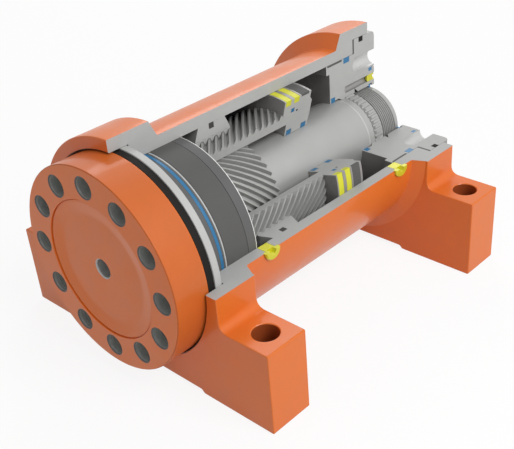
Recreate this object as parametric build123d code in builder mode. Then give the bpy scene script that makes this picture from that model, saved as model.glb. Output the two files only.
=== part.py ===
from build123d import *
import math
import os

# Hydraulic rotary actuator with helical gearing, shown as a cutaway.
# The axis of the output shaft lies along Y, with the flange face at y = 0 and the feet down.
# All lengths are in millimetres and all angles in degrees.

# Sectioned quadrant of the fixed parts, and the narrower sector cut from the piston.
# Angles are counted from +X towards +Z.
CUT_LOW = 0.0
CUT_HIGH = 90.0
PISTON_CUT_LOW = 15.0
PISTON_CUT_HIGH = 75.0

# Clearances between pieces.
SEAT_GAP = 0.05
BEARING_GAP = 0.10
SEAL_GAP = 0.30
RING_SIDE_GAP = 0.30
CAVITY_GAP = 1.9

# Housing tube and its bores.
BORE_R = 90.0
TUBE_WALL = 12.5
RECESS_R = 106.5
FRONT_FACE_Y = 32.2
FRONT_SHOULDER_Y = 54.9
REAR_SHOULDER_Y = 377.5
REAR_FACE_Y = 404.5

# Foot brackets, one at each end of the tube.
BRACKET_LENGTH = 49.5
BOSS_R = 119.2
FLANK_DEPTH = 8.0
FLANK_DROP = 1.2
FOOT_HALF_WIDTH = 177.5
FOOT_TOP_Z = -34.3
FOOT_BOTTOM_Z = -124.0
FOOT_FILLET = 8.5
FOOT_HOLE_R = 13.0
FOOT_HOLE_X = 152.2
RELIEF_HALF_WIDTH = 87.0
RELIEF_DEPTH = 3.5

# Oil ports, drilled from the side on the horizontal cut plane.
PORT_R = 6.6
PORT_HEAD_R = 10.0
PORT_HEAD_HEIGHT = 4.5
PORT_SPOT_DEPTH = 1.5
PORT_FRONT_Y = 122.0
PORT_REAR_Y = 327.0
PORT_HEX_ACROSS_FLATS = 7.0
PORT_HEX_DEPTH = 5.5

# Output flange.
FLANGE_R = 105.0
FLANGE_THICKNESS = 38.0
FLANGE_HOLES = 12
FLANGE_PCD = 172.2
FLANGE_HOLE_R = 10.5
FLANGE_HOLE_DEPTH = 30.0
FACE_RECESS_R = 71.5
FACE_RECESS_DEPTH = 1.5
FACE_DISH_OUTER_R = 68.5
FACE_DISH_INNER_R = 56.0
FACE_DISH_DEPTH = 4.0
CENTRE_HOLE_R = 9.5
CENTRE_HOLE_DEPTH = 24.0

# Hollow drum behind the flange.
DRUM_REAR_Y = 117.0
CAVITY_FLOOR_Y = 40.0
WIPER_LENGTH = 7.6
SHAFT_SEAL_Y = 69.3
SHAFT_SEAL_LENGTH = 4.3
SHAFT_SEAL_DEPTH = 5.0
BACKUP_Y = 74.3
BACKUP_LENGTH = 2.3
BEARING_Y = 77.2
BEARING_LENGTH = 33.0
BEARING_DEPTH = 3.0

# Helical teeth. Both meshes share one transverse module and a helix of 45 degrees.
MODULE = 3.0
HELIX_ANGLE = 45.0
SHAFT_TEETH = 38
SLEEVE_TEETH = 48
FLANK_GAP = 0.4
FLANK_LEAN = 20.0
TOOTH_ADDENDUM = 2.1
TOOTH_DEDENDUM = 2.65
SHAFT_TEETH_END_Y = 188.0
SLEEVE_FRONT_Y = 92.0
INNER_TEETH_LENGTH = 47.0
CUTTER_REACH = 2.0

# Ring gear, seated in the bore and held by a square wire.
RING_FRONT_Y = 132.7
RING_LENGTH = 47.3
RING_SHOULDER_R = 77.2
RING_SEAT_INSET = 5.6
WIRE_Y = 152.3
WIRE_WIDTH = 6.7
WIRE_DEPTH = 6.0

# Piston head and the rear boss of the sleeve.
HEAD_FRONT_Y = 238.0
HEAD_RIM_LENGTH = 40.8
BOSS_REAR_STEP = 3.7
HEAD_RIM_WIDTH = 8.3
HEAD_CHAMFER = 4.7
HEAD_SEAT_R = 72.5
PISTON_BORE_STEP_Y = 245.4
ROD_SEAL_LENGTH = 8.0
ROD_SEAL_DEPTH = 6.2
ROD_SEAL_FRONT_OFFSET = 2.0
ROD_SEAL_REAR_OFFSET = 25.3
PISTON_SEAL_OFFSETS = (1.8, 14.5)
PISTON_SEAL_LENGTH = 8.2
PISTON_SEAL_DEPTH = 6.6
PISTON_WEAR_OFFSET = 25.5
PISTON_WEAR_LENGTH = 12.1
PISTON_WEAR_DEPTH = 2.5
HEAD_ORING_OFFSET = 12.0
HEAD_ORING_SIZE = 5.0
LOCK_WIRE_OFFSET = 21.5
LOCK_WIRE_R = 1.3

# Shaft behind the teeth.
JOURNAL_R = 44.5
JOURNAL_END_Y = 350.0
NECK_R = 43.0
NECK_TAPER = 3.5
SPLINE_Y = 363.5
SPLINE_LENGTH = 14.5
SPLINE_TEETH = 44
SPLINE_DEPTH = 1.8
SPLINE_RELIEF = 1.5
THREAD_Y = 380.0
THREAD_LENGTH = 22.5
THREAD_R = 41.5
SHAFT_END_R = 40.4
SHAFT_END_Y = 411.0
SHAFT_END_CHAMFER = 1.5

# Rear end cap, which turns with the shaft.
CAP_RIM_Y = 330.8
CAP_RIM_WIDTH = 10.5
CAP_DISH_DEPTH = 5.2
CAP_REAR_Y = 416.9
CAP_FLANGE_Y = 380.1
CAP_HOLES = 12
CAP_HOLE_R = 8.9
CAP_HOLE_CIRCLE_R = 75.6
CAP_CORNER_R = 4.0
CAP_WEAR_Y = 332.9
CAP_WEAR_LENGTH = 25.2
CAP_WEAR_DEPTH = 2.2
CAP_SEAL_Y = 360.8
CAP_SEAL_LENGTH = 10.5
CAP_SEAL_DEPTH = 6.0
CAP_INNER_SEAL_Y = 337.6
CAP_INNER_SEAL_LENGTH = 7.0
CAP_INNER_SEAL_DEPTH = 5.8
DUST_RING_Y = 388.5
DUST_RING_LENGTH = 7.4
DUST_RING_DEPTH = 5.8
WASHER_THICKNESS = 2.3

# Lock nut on the shaft's thread, with its set screws.
NUT_R = 64.5
NUT_CHAMFER = 1.5
NUT_SEAL_Y = 406.5
NUT_SEAL_LENGTH = 6.0
NUT_INNER_SEAL_DEPTH = 3.0
NUT_OUTER_SEAL_DEPTH = 4.2
SCREW_CIRCLE_R = 52.2
SCREW_COUNT = 3
SCREW_START = 270.0
SCREW_R = 4.0
SCREW_LENGTH = 12.6
SCREW_INSET = 1.1
SCREW_HEX_ACROSS_FLATS = 4.0
SCREW_HEX_DEPTH = 4.0
PIN_HOLE_DEPTH = 17.0

# Values that follow from the ones above.
TUBE_R = BORE_R + TUBE_WALL
FIXED_ARC = 360.0 - (CUT_HIGH - CUT_LOW)
PISTON_ARC = 360.0 - (PISTON_CUT_HIGH - PISTON_CUT_LOW)
SHAFT_PITCH_R = MODULE * SHAFT_TEETH / 2
SLEEVE_PITCH_R = MODULE * SLEEVE_TEETH / 2
TURN_SLOPE = math.tan(math.radians(HELIX_ANGLE))
SHAFT_TWIST = math.degrees(TURN_SLOPE / SHAFT_PITCH_R)
SLEEVE_TWIST = -math.degrees(TURN_SLOPE / SLEEVE_PITCH_R)
DRUM_R = BORE_R - SEAL_GAP - SEAT_GAP
CAVITY_R = SLEEVE_PITCH_R + TOOTH_ADDENDUM + CAVITY_GAP
SLEEVE_BORE_R = SHAFT_PITCH_R + TOOTH_DEDENDUM
PISTON_BORE_R = JOURNAL_R + 2 * SEAL_GAP
HEAD_RIM_Y = HEAD_FRONT_Y + HEAD_RIM_LENGTH
BOSS_REAR_Y = HEAD_RIM_Y + BOSS_REAR_STEP
FRONT_BRACKET_END_Y = FRONT_FACE_Y + BRACKET_LENGTH
REAR_BRACKET_START_Y = REAR_FACE_Y - BRACKET_LENGTH
NUT_FRONT_Y = CAP_FLANGE_Y
FAR = 4 * FOOT_HALF_WIDTH

os.makedirs("parts", exist_ok=True)


def radial_plane(angle):
    """A plane through the axis: its x is the radius at that angle, its y runs along the axis."""
    a = math.radians(angle)
    return Plane(origin=(0, 0, 0), x_dir=(math.cos(a), 0, math.sin(a)), z_dir=(-math.sin(a), 0, math.cos(a)))


def cross_plane(y):
    """A plane square to the axis at height y, with its x along +X and its normal along +Y."""
    return Plane(origin=(0, y, 0), x_dir=(1, 0, 0), z_dir=(0, 1, 0))


def turn(outline, start=CUT_LOW, arc=FIXED_ARC):
    """Revolve an outline of (radius, y) points about the axis, inside the open part."""
    with BuildSketch(radial_plane(start)) as section:
        with BuildLine():
            Polyline(*outline, close=True)
        make_face()
    revolve(section.sketch, axis=Axis.Y, revolution_arc=arc)


def box_outline(inner_r, outer_r, front_y, rear_y):
    """The rectangular section of a plain ring."""
    return [(inner_r, front_y), (outer_r, front_y), (outer_r, rear_y), (inner_r, rear_y)]


def finish_piece(piece, label):
    """Name a finished piece and write it."""
    piece.part.label = label
    export_step(piece.part, "parts/" + label + ".step")


def make_ring(label, outline, start=CUT_LOW, arc=FIXED_ARC):
    """A seal, washer or wear ring that is only its turned section."""
    with BuildPart() as ring:
        turn(outline, start, arc)
    finish_piece(ring, label)


def tooth_outline(teeth, pitch_r, inner_r, outer_r, thickness, turned=0.0):
    """Straight-flanked teeth round a circle, as (x, y) points; thickness is at the pitch circle."""
    lean = math.tan(math.radians(FLANK_LEAN))
    corners = []
    for tooth in range(teeth):
        middle = 2 * math.pi * tooth / teeth + math.radians(turned)
        for radius, side in ((inner_r, -1), (outer_r, -1), (outer_r, 1), (inner_r, 1)):
            half = thickness / 2 - (radius - pitch_r) * lean
            corner = middle + side * half / pitch_r
            corners.append((radius * math.cos(corner), radius * math.sin(corner)))
    return corners


def helical_solid(teeth, pitch_r, inner_r, outer_r, thickness, front_y, rear_y, twist, phase=0.0):
    """Extrude a toothed outline along the axis with a steady turn, in degrees per millimetre."""
    outline = tooth_outline(teeth, pitch_r, inner_r, outer_r, thickness, phase + twist * front_y)
    with BuildSketch(cross_plane(front_y)) as section:
        with BuildLine():
            Polyline(*outline, close=True)
        make_face()
    length = rear_y - front_y
    face = section.sketch.faces()[0]
    return Solid.extrude_linear_with_rotation(face, (0, front_y, 0), (0, length, 0), twist * length)


# Tooth widths on the pitch circle: half a pitch less the running gap on both flanks.
HALF_PITCH = math.pi * MODULE / 2
TOOTH_WIDTH = HALF_PITCH - FLANK_GAP / math.cos(math.radians(HELIX_ANGLE))
SPACE_WIDTH = 2 * HALF_PITCH - TOOTH_WIDTH


# Housing: a cast tube between two footed brackets, with one quadrant above the ports cut away.
with BuildPart() as housing:
    turn(
        [
            (BORE_R, FRONT_FACE_Y),
            (BOSS_R, FRONT_FACE_Y),
            (BOSS_R, FRONT_BRACKET_END_Y - FLANK_DROP),
            (TUBE_R, FRONT_BRACKET_END_Y + FLANK_DEPTH - FLANK_DROP),
            (TUBE_R, REAR_BRACKET_START_Y - FLANK_DEPTH + FLANK_DROP),
            (BOSS_R, REAR_BRACKET_START_Y + FLANK_DROP),
            (BOSS_R, REAR_FACE_Y),
            (BORE_R, REAR_FACE_Y),
        ],
        CUT_LOW,
        360,
    )
    for bracket_y in (FRONT_FACE_Y, REAR_BRACKET_START_Y):
        with BuildSketch(Plane(origin=(0, bracket_y, 0), x_dir=(1, 0, 0), z_dir=(0, -1, 0))) as bracket:
            with Locations((0, FOOT_TOP_Z / 2)):
                Rectangle(2 * BOSS_R, -FOOT_TOP_Z)
            with Locations((0, (FOOT_TOP_Z + FOOT_BOTTOM_Z) / 2)):
                Rectangle(2 * FOOT_HALF_WIDTH, FOOT_TOP_Z - FOOT_BOTTOM_Z)
            inner_corners = bracket.vertices().filter_by(
                lambda v: abs(abs(v.X) - BOSS_R) < 0.01 and abs(v.Z - FOOT_TOP_Z) < 0.01
            )
            fillet(inner_corners, FOOT_FILLET)
            with BuildLine():
                Polyline(
                    (-RELIEF_HALF_WIDTH, FOOT_BOTTOM_Z),
                    (-RELIEF_HALF_WIDTH + RELIEF_DEPTH, FOOT_BOTTOM_Z + RELIEF_DEPTH),
                    (RELIEF_HALF_WIDTH - RELIEF_DEPTH, FOOT_BOTTOM_Z + RELIEF_DEPTH),
                    (RELIEF_HALF_WIDTH, FOOT_BOTTOM_Z),
                    close=True,
                )
            make_face(mode=Mode.SUBTRACT)
        extrude(amount=-BRACKET_LENGTH)
        with BuildSketch(Plane.XY.offset(FOOT_TOP_Z)):
            with Locations(
                (-FOOT_HOLE_X, bracket_y + BRACKET_LENGTH / 2),
                (FOOT_HOLE_X, bracket_y + BRACKET_LENGTH / 2),
            ):
                Circle(FOOT_HOLE_R)
        extrude(amount=FOOT_BOTTOM_Z - FOOT_TOP_Z, mode=Mode.SUBTRACT)
    with BuildSketch(Plane.XZ):
        Circle(BORE_R)
    extrude(amount=-REAR_FACE_Y, mode=Mode.SUBTRACT)
    with BuildSketch(Plane.XZ):
        Circle(RECESS_R)
    extrude(amount=-FRONT_SHOULDER_Y, mode=Mode.SUBTRACT)
    with BuildSketch(Plane.XZ.offset(-REAR_SHOULDER_Y)):
        Circle(RECESS_R)
    extrude(amount=-(REAR_FACE_Y - REAR_SHOULDER_Y), mode=Mode.SUBTRACT)
    for port_y in (PORT_FRONT_Y, PORT_REAR_Y):
        with BuildSketch(Plane.YZ.offset(BORE_R - TUBE_WALL)):
            with Locations((port_y, 0)):
                Circle(PORT_R)
        extrude(amount=2 * TUBE_WALL, mode=Mode.SUBTRACT)
        with BuildSketch(Plane.YZ.offset(TUBE_R - PORT_SPOT_DEPTH)):
            with Locations((port_y, 0)):
                Circle(PORT_HEAD_R + RING_SIDE_GAP)
        extrude(amount=TUBE_WALL, mode=Mode.SUBTRACT)
    with BuildSketch(Plane.XZ):
        Rectangle(FAR, FAR, align=(Align.MIN, Align.MIN))
    extrude(amount=-REAR_FACE_Y - FRONT_FACE_Y, mode=Mode.SUBTRACT)
finish_piece(housing, "housing")


# Port plugs: a stem in the tube wall and a round head with a hexagon socket, halved by the cut.
def make_port_plug(label, port_y):
    """One sectioned port plug at the given place along the tube."""
    seat_x = TUBE_R - PORT_SPOT_DEPTH
    with BuildPart() as plug:
        with BuildSketch(Plane.YZ.offset(BORE_R + SEAL_GAP)):
            with Locations((port_y, 0)):
                Circle(PORT_R - SEAT_GAP)
        extrude(amount=seat_x - BORE_R)
        with BuildSketch(Plane.YZ.offset(seat_x + SEAT_GAP)):
            with Locations((port_y, 0)):
                Circle(PORT_HEAD_R)
        extrude(amount=PORT_HEAD_HEIGHT)
        head_top = plug.faces().sort_by(Axis.X)[-1]
        chamfer(head_top.edges(), PORT_SPOT_DEPTH / 2)
        with BuildSketch(Plane.YZ.offset(seat_x + SEAT_GAP + PORT_HEAD_HEIGHT)):
            with Locations((port_y, 0)):
                RegularPolygon(PORT_HEX_ACROSS_FLATS / 2, 6, major_radius=False)
        extrude(amount=-PORT_HEX_DEPTH, mode=Mode.SUBTRACT)
        with BuildSketch(Plane.XZ):
            Rectangle(FAR, FAR, align=(Align.MIN, Align.MIN))
        extrude(amount=-REAR_FACE_Y, mode=Mode.SUBTRACT)
    finish_piece(plug, label)


make_port_plug("front_port_plug", PORT_FRONT_Y)
make_port_plug("rear_port_plug", PORT_REAR_Y)


# Ring gear: fixed in the bore, with the outer mesh's helical teeth inside it.
RING_REAR_Y = RING_FRONT_Y + RING_LENGTH
ring_cutter = helical_solid(
    SLEEVE_TEETH,
    SLEEVE_PITCH_R,
    SLEEVE_PITCH_R - TOOTH_ADDENDUM - CUTTER_REACH,
    SLEEVE_PITCH_R + TOOTH_DEDENDUM,
    SPACE_WIDTH,
    RING_FRONT_Y - CUTTER_REACH,
    RING_REAR_Y + CUTTER_REACH,
    SLEEVE_TWIST,
)
with BuildPart() as ring_gear:
    turn(
        [
            (SLEEVE_PITCH_R - TOOTH_ADDENDUM, RING_FRONT_Y),
            (RING_SHOULDER_R, RING_FRONT_Y),
            (BORE_R - SEAT_GAP, RING_FRONT_Y + RING_SEAT_INSET),
            (BORE_R - SEAT_GAP, WIRE_Y),
            (BORE_R - WIRE_DEPTH, WIRE_Y),
            (BORE_R - WIRE_DEPTH, WIRE_Y + WIRE_WIDTH),
            (BORE_R - SEAT_GAP, WIRE_Y + WIRE_WIDTH),
            (BORE_R - SEAT_GAP, RING_REAR_Y - RING_SEAT_INSET),
            (RING_SHOULDER_R, RING_REAR_Y),
            (SLEEVE_PITCH_R - TOOTH_ADDENDUM, RING_REAR_Y),
        ]
    )
    add(ring_cutter, mode=Mode.SUBTRACT)
finish_piece(ring_gear, "ring_gear")

make_ring(
    "ring_gear_wire",
    box_outline(
        BORE_R - WIRE_DEPTH + SEAT_GAP, BORE_R - SEAT_GAP, WIRE_Y + SEAT_GAP, WIRE_Y + WIRE_WIDTH - SEAT_GAP
    ),
)


# Output shaft: flange, hollow drum, toothed length, journal, spline and thread, all one forging.
SHAFT_BACK_Y = SPLINE_Y + SPLINE_LENGTH
shaft_teeth = helical_solid(
    SHAFT_TEETH,
    SHAFT_PITCH_R,
    SHAFT_PITCH_R - TOOTH_DEDENDUM,
    SHAFT_PITCH_R + TOOTH_ADDENDUM,
    TOOTH_WIDTH,
    CAVITY_FLOOR_Y - CUTTER_REACH,
    SHAFT_TEETH_END_Y,
    SHAFT_TWIST,
)
with BuildPart() as flange_shaft:
    turn(
        [
            (0, FACE_DISH_DEPTH),
            (FACE_DISH_INNER_R, FACE_DISH_DEPTH),
            (FACE_DISH_OUTER_R, FACE_RECESS_DEPTH),
            (FACE_RECESS_R, FACE_RECESS_DEPTH),
            (FACE_RECESS_R, 0),
            (FLANGE_R, 0),
            (FLANGE_R, FLANGE_THICKNESS),
            (DRUM_R, FLANGE_THICKNESS),
            (DRUM_R, SHAFT_SEAL_Y),
            (DRUM_R - SHAFT_SEAL_DEPTH, SHAFT_SEAL_Y),
            (DRUM_R - SHAFT_SEAL_DEPTH, SHAFT_SEAL_Y + SHAFT_SEAL_LENGTH),
            (DRUM_R, SHAFT_SEAL_Y + SHAFT_SEAL_LENGTH),
            (DRUM_R, BACKUP_Y),
            (DRUM_R - BEARING_DEPTH, BACKUP_Y),
            (DRUM_R - BEARING_DEPTH, BACKUP_Y + BACKUP_LENGTH),
            (DRUM_R, BACKUP_Y + BACKUP_LENGTH),
            (DRUM_R, BEARING_Y),
            (DRUM_R - BEARING_DEPTH, BEARING_Y),
            (DRUM_R - BEARING_DEPTH, BEARING_Y + BEARING_LENGTH),
            (DRUM_R, BEARING_Y + BEARING_LENGTH),
            (DRUM_R, DRUM_REAR_Y),
            (CAVITY_R, DRUM_REAR_Y),
            (CAVITY_R, CAVITY_FLOOR_Y),
            (0, CAVITY_FLOOR_Y),
        ],
        CUT_LOW,
        360,
    )
    add(shaft_teeth)
    turn(
        [
            (0, CAVITY_FLOOR_Y),
            (JOURNAL_R, CAVITY_FLOOR_Y),
            (JOURNAL_R, JOURNAL_END_Y),
            (NECK_R, JOURNAL_END_Y + NECK_TAPER),
            (NECK_R, SPLINE_Y - SPLINE_RELIEF),
            (NECK_R - SPLINE_DEPTH, SPLINE_Y - SPLINE_RELIEF),
            (NECK_R - SPLINE_DEPTH, SHAFT_BACK_Y + SPLINE_RELIEF),
            (THREAD_R, SHAFT_BACK_Y + SPLINE_RELIEF),
            (THREAD_R, THREAD_Y + THREAD_LENGTH),
            (SHAFT_END_R, THREAD_Y + THREAD_LENGTH),
            (SHAFT_END_R, SHAFT_END_Y - SHAFT_END_CHAMFER),
            (SHAFT_END_R - SHAFT_END_CHAMFER, SHAFT_END_Y),
            (0, SHAFT_END_Y),
        ],
        CUT_LOW,
        360,
    )
    with BuildSketch(cross_plane(SPLINE_Y)):
        with BuildLine():
            Polyline(
                *tooth_outline(
                    SPLINE_TEETH,
                    NECK_R - SPLINE_DEPTH / 2,
                    NECK_R - SPLINE_DEPTH,
                    NECK_R,
                    math.pi * NECK_R / SPLINE_TEETH,
                ),
                close=True,
            )
        make_face()
    extrude(amount=SPLINE_LENGTH)
    with BuildSketch(cross_plane(0)):
        with PolarLocations(FLANGE_PCD / 2, FLANGE_HOLES):
            Circle(FLANGE_HOLE_R)
    extrude(amount=FLANGE_HOLE_DEPTH, mode=Mode.SUBTRACT)
    with BuildSketch(cross_plane(0)):
        Circle(CENTRE_HOLE_R)
    extrude(amount=CENTRE_HOLE_DEPTH, mode=Mode.SUBTRACT)
finish_piece(flange_shaft, "flange_shaft")


# Rings on the drum. They are whole, as the shaft is.
WIPER_Y = FLANGE_THICKNESS + SEAT_GAP
THRUST_Y = WIPER_Y + WIPER_LENGTH + SEAT_GAP
make_ring(
    "front_wiper",
    box_outline(DRUM_R + SEAT_GAP, FLANGE_R, WIPER_Y, WIPER_Y + WIPER_LENGTH),
    CUT_LOW,
    360,
)
make_ring(
    "front_thrust_ring",
    box_outline(DRUM_R + SEAT_GAP, RECESS_R - SEAL_GAP, THRUST_Y, FRONT_SHOULDER_Y - RING_SIDE_GAP),
    CUT_LOW,
    360,
)
make_ring(
    "front_shaft_seal",
    box_outline(
        DRUM_R - SHAFT_SEAL_DEPTH + SEAT_GAP,
        BORE_R - SEAL_GAP,
        SHAFT_SEAL_Y + SEAT_GAP,
        SHAFT_SEAL_Y + SHAFT_SEAL_LENGTH - SEAT_GAP,
    ),
    CUT_LOW,
    360,
)
make_ring(
    "front_backup_ring",
    box_outline(
        DRUM_R - BEARING_DEPTH + SEAT_GAP,
        BORE_R - SEAL_GAP,
        BACKUP_Y + SEAT_GAP,
        BACKUP_Y + BACKUP_LENGTH - SEAT_GAP,
    ),
    CUT_LOW,
    360,
)
make_ring(
    "front_bearing_ring",
    box_outline(
        DRUM_R - BEARING_DEPTH + SEAT_GAP,
        BORE_R - BEARING_GAP,
        BEARING_Y + SEAT_GAP,
        BEARING_Y + BEARING_LENGTH - SEAT_GAP,
    ),
    CUT_LOW,
    360,
)


# Piston sleeve: helical teeth outside and inside, and a rear boss that carries the head.
sleeve_teeth = helical_solid(
    SLEEVE_TEETH,
    SLEEVE_PITCH_R,
    SLEEVE_PITCH_R - TOOTH_DEDENDUM,
    SLEEVE_PITCH_R + TOOTH_ADDENDUM,
    TOOTH_WIDTH,
    SLEEVE_FRONT_Y,
    HEAD_FRONT_Y,
    SLEEVE_TWIST,
)
INNER_TEETH_END_Y = SLEEVE_FRONT_Y + INNER_TEETH_LENGTH
inner_cutter = helical_solid(
    SHAFT_TEETH,
    SHAFT_PITCH_R,
    SHAFT_PITCH_R - TOOTH_ADDENDUM,
    SHAFT_PITCH_R + TOOTH_DEDENDUM,
    SPACE_WIDTH,
    SLEEVE_FRONT_Y - CUTTER_REACH,
    INNER_TEETH_END_Y,
    SHAFT_TWIST,
)
ROD_SEAL_FRONT_Y = PISTON_BORE_STEP_Y + ROD_SEAL_FRONT_OFFSET
ROD_SEAL_REAR_Y = PISTON_BORE_STEP_Y + ROD_SEAL_REAR_OFFSET
LOCK_WIRE_Y = HEAD_FRONT_Y + LOCK_WIRE_OFFSET


def lock_wire_space(radius):
    """The round channel for the wire that locks the head to the sleeve, inside the open part."""
    with BuildSketch(radial_plane(PISTON_CUT_LOW)) as section:
        with Locations((HEAD_SEAT_R, LOCK_WIRE_Y)):
            Circle(radius)
    revolve(section.sketch, axis=Axis.Y, revolution_arc=PISTON_ARC, mode=Mode.SUBTRACT)


with BuildPart() as piston_sleeve:
    add(sleeve_teeth)
    with BuildSketch(cross_plane(INNER_TEETH_END_Y)):
        Circle(SLEEVE_BORE_R)
    extrude(amount=HEAD_FRONT_Y - INNER_TEETH_END_Y, mode=Mode.SUBTRACT)
    add(inner_cutter, mode=Mode.SUBTRACT)
    with BuildSketch(Plane.XZ):
        with BuildLine():
            Polyline(
                (0, 0),
                (FAR * math.cos(math.radians(PISTON_CUT_LOW)), FAR * math.sin(math.radians(PISTON_CUT_LOW))),
                (FAR * math.cos(math.radians(PISTON_CUT_HIGH)), FAR * math.sin(math.radians(PISTON_CUT_HIGH))),
                close=True,
            )
        make_face()
    extrude(amount=-REAR_FACE_Y, mode=Mode.SUBTRACT)
    turn(
        [
            (SLEEVE_BORE_R, HEAD_FRONT_Y),
            (HEAD_SEAT_R, HEAD_FRONT_Y),
            (HEAD_SEAT_R, BOSS_REAR_Y),
            (SLEEVE_BORE_R, BOSS_REAR_Y),
            (PISTON_BORE_R, BOSS_REAR_Y - BOSS_REAR_STEP / 2),
            (PISTON_BORE_R, ROD_SEAL_REAR_Y + ROD_SEAL_LENGTH),
            (PISTON_BORE_R + ROD_SEAL_DEPTH, ROD_SEAL_REAR_Y + ROD_SEAL_LENGTH),
            (PISTON_BORE_R + ROD_SEAL_DEPTH, ROD_SEAL_REAR_Y),
            (PISTON_BORE_R, ROD_SEAL_REAR_Y),
            (PISTON_BORE_R, ROD_SEAL_FRONT_Y + ROD_SEAL_LENGTH),
            (PISTON_BORE_R + ROD_SEAL_DEPTH, ROD_SEAL_FRONT_Y + ROD_SEAL_LENGTH),
            (PISTON_BORE_R + ROD_SEAL_DEPTH, ROD_SEAL_FRONT_Y),
            (PISTON_BORE_R, ROD_SEAL_FRONT_Y),
            (PISTON_BORE_R, PISTON_BORE_STEP_Y),
            (SLEEVE_BORE_R, PISTON_BORE_STEP_Y),
        ],
        PISTON_CUT_LOW,
        PISTON_ARC,
    )
    lock_wire_space(LOCK_WIRE_R + SEAT_GAP)
finish_piece(piston_sleeve, "piston_sleeve")


# Piston head: a ring on the sleeve's boss, grooved for two seals and a wear ring.
HEAD_R = BORE_R - SEAL_GAP - SEAT_GAP
head_outline = [(HEAD_SEAT_R + SEAT_GAP, HEAD_FRONT_Y + SEAT_GAP), (HEAD_R, HEAD_FRONT_Y + SEAT_GAP)]
head_grooves = [(offset, PISTON_SEAL_LENGTH, PISTON_SEAL_DEPTH) for offset in PISTON_SEAL_OFFSETS]
head_grooves.append((PISTON_WEAR_OFFSET, PISTON_WEAR_LENGTH, PISTON_WEAR_DEPTH))
for groove_offset, groove_length, groove_depth in head_grooves:
    groove_y = HEAD_FRONT_Y + groove_offset
    head_outline.append((HEAD_R, groove_y))
    head_outline.append((HEAD_R - groove_depth, groove_y))
    head_outline.append((HEAD_R - groove_depth, groove_y + groove_length))
    head_outline.append((HEAD_R, groove_y + groove_length))
ORING_Y = HEAD_FRONT_Y + HEAD_ORING_OFFSET
head_outline += [
    (HEAD_R, HEAD_RIM_Y),
    (HEAD_R - HEAD_RIM_WIDTH, HEAD_RIM_Y),
    (HEAD_R - HEAD_RIM_WIDTH - HEAD_CHAMFER, BOSS_REAR_Y),
    (HEAD_SEAT_R + SEAT_GAP, BOSS_REAR_Y),
    (HEAD_SEAT_R + SEAT_GAP, ORING_Y + HEAD_ORING_SIZE),
    (HEAD_SEAT_R + HEAD_ORING_SIZE, ORING_Y + HEAD_ORING_SIZE),
    (HEAD_SEAT_R + HEAD_ORING_SIZE, ORING_Y),
    (HEAD_SEAT_R + SEAT_GAP, ORING_Y),
]
with BuildPart() as piston_head:
    turn(head_outline, PISTON_CUT_LOW, PISTON_ARC)
    lock_wire_space(LOCK_WIRE_R + SEAT_GAP)
finish_piece(piston_head, "piston_head")

with BuildPart() as head_lock_wire:
    with BuildSketch(radial_plane(PISTON_CUT_LOW)):
        with Locations((HEAD_SEAT_R, LOCK_WIRE_Y)):
            Circle(LOCK_WIRE_R)
    revolve(axis=Axis.Y, revolution_arc=PISTON_ARC)
finish_piece(head_lock_wire, "head_lock_wire")

make_ring(
    "head_oring",
    box_outline(
        HEAD_SEAT_R + SEAT_GAP,
        HEAD_SEAT_R + HEAD_ORING_SIZE - SEAT_GAP,
        ORING_Y + SEAT_GAP,
        ORING_Y + HEAD_ORING_SIZE - SEAT_GAP,
    ),
    PISTON_CUT_LOW,
    PISTON_ARC,
)
for seal_name, seal_offset in zip(("piston_seal_front", "piston_seal_rear"), PISTON_SEAL_OFFSETS):
    make_ring(
        seal_name,
        box_outline(
            HEAD_R - PISTON_SEAL_DEPTH + SEAT_GAP,
            BORE_R - SEAL_GAP,
            HEAD_FRONT_Y + seal_offset + SEAT_GAP,
            HEAD_FRONT_Y + seal_offset + PISTON_SEAL_LENGTH - SEAT_GAP,
        ),
        PISTON_CUT_LOW,
        PISTON_ARC,
    )
make_ring(
    "piston_wear_ring",
    box_outline(
        HEAD_R - PISTON_WEAR_DEPTH + SEAT_GAP,
        BORE_R - BEARING_GAP,
        HEAD_FRONT_Y + PISTON_WEAR_OFFSET + SEAT_GAP,
        HEAD_FRONT_Y + PISTON_WEAR_OFFSET + PISTON_WEAR_LENGTH - SEAT_GAP,
    ),
    PISTON_CUT_LOW,
    PISTON_ARC,
)
for seal_name, seal_y in (("rod_seal_front", ROD_SEAL_FRONT_Y), ("rod_seal_rear", ROD_SEAL_REAR_Y)):
    make_ring(
        seal_name,
        box_outline(
            JOURNAL_R + SEAL_GAP,
            PISTON_BORE_R + ROD_SEAL_DEPTH - SEAL_GAP,
            seal_y + RING_SIDE_GAP,
            seal_y + ROD_SEAL_LENGTH - RING_SIDE_GAP,
        ),
        PISTON_CUT_LOW,
        PISTON_ARC,
    )


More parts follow.
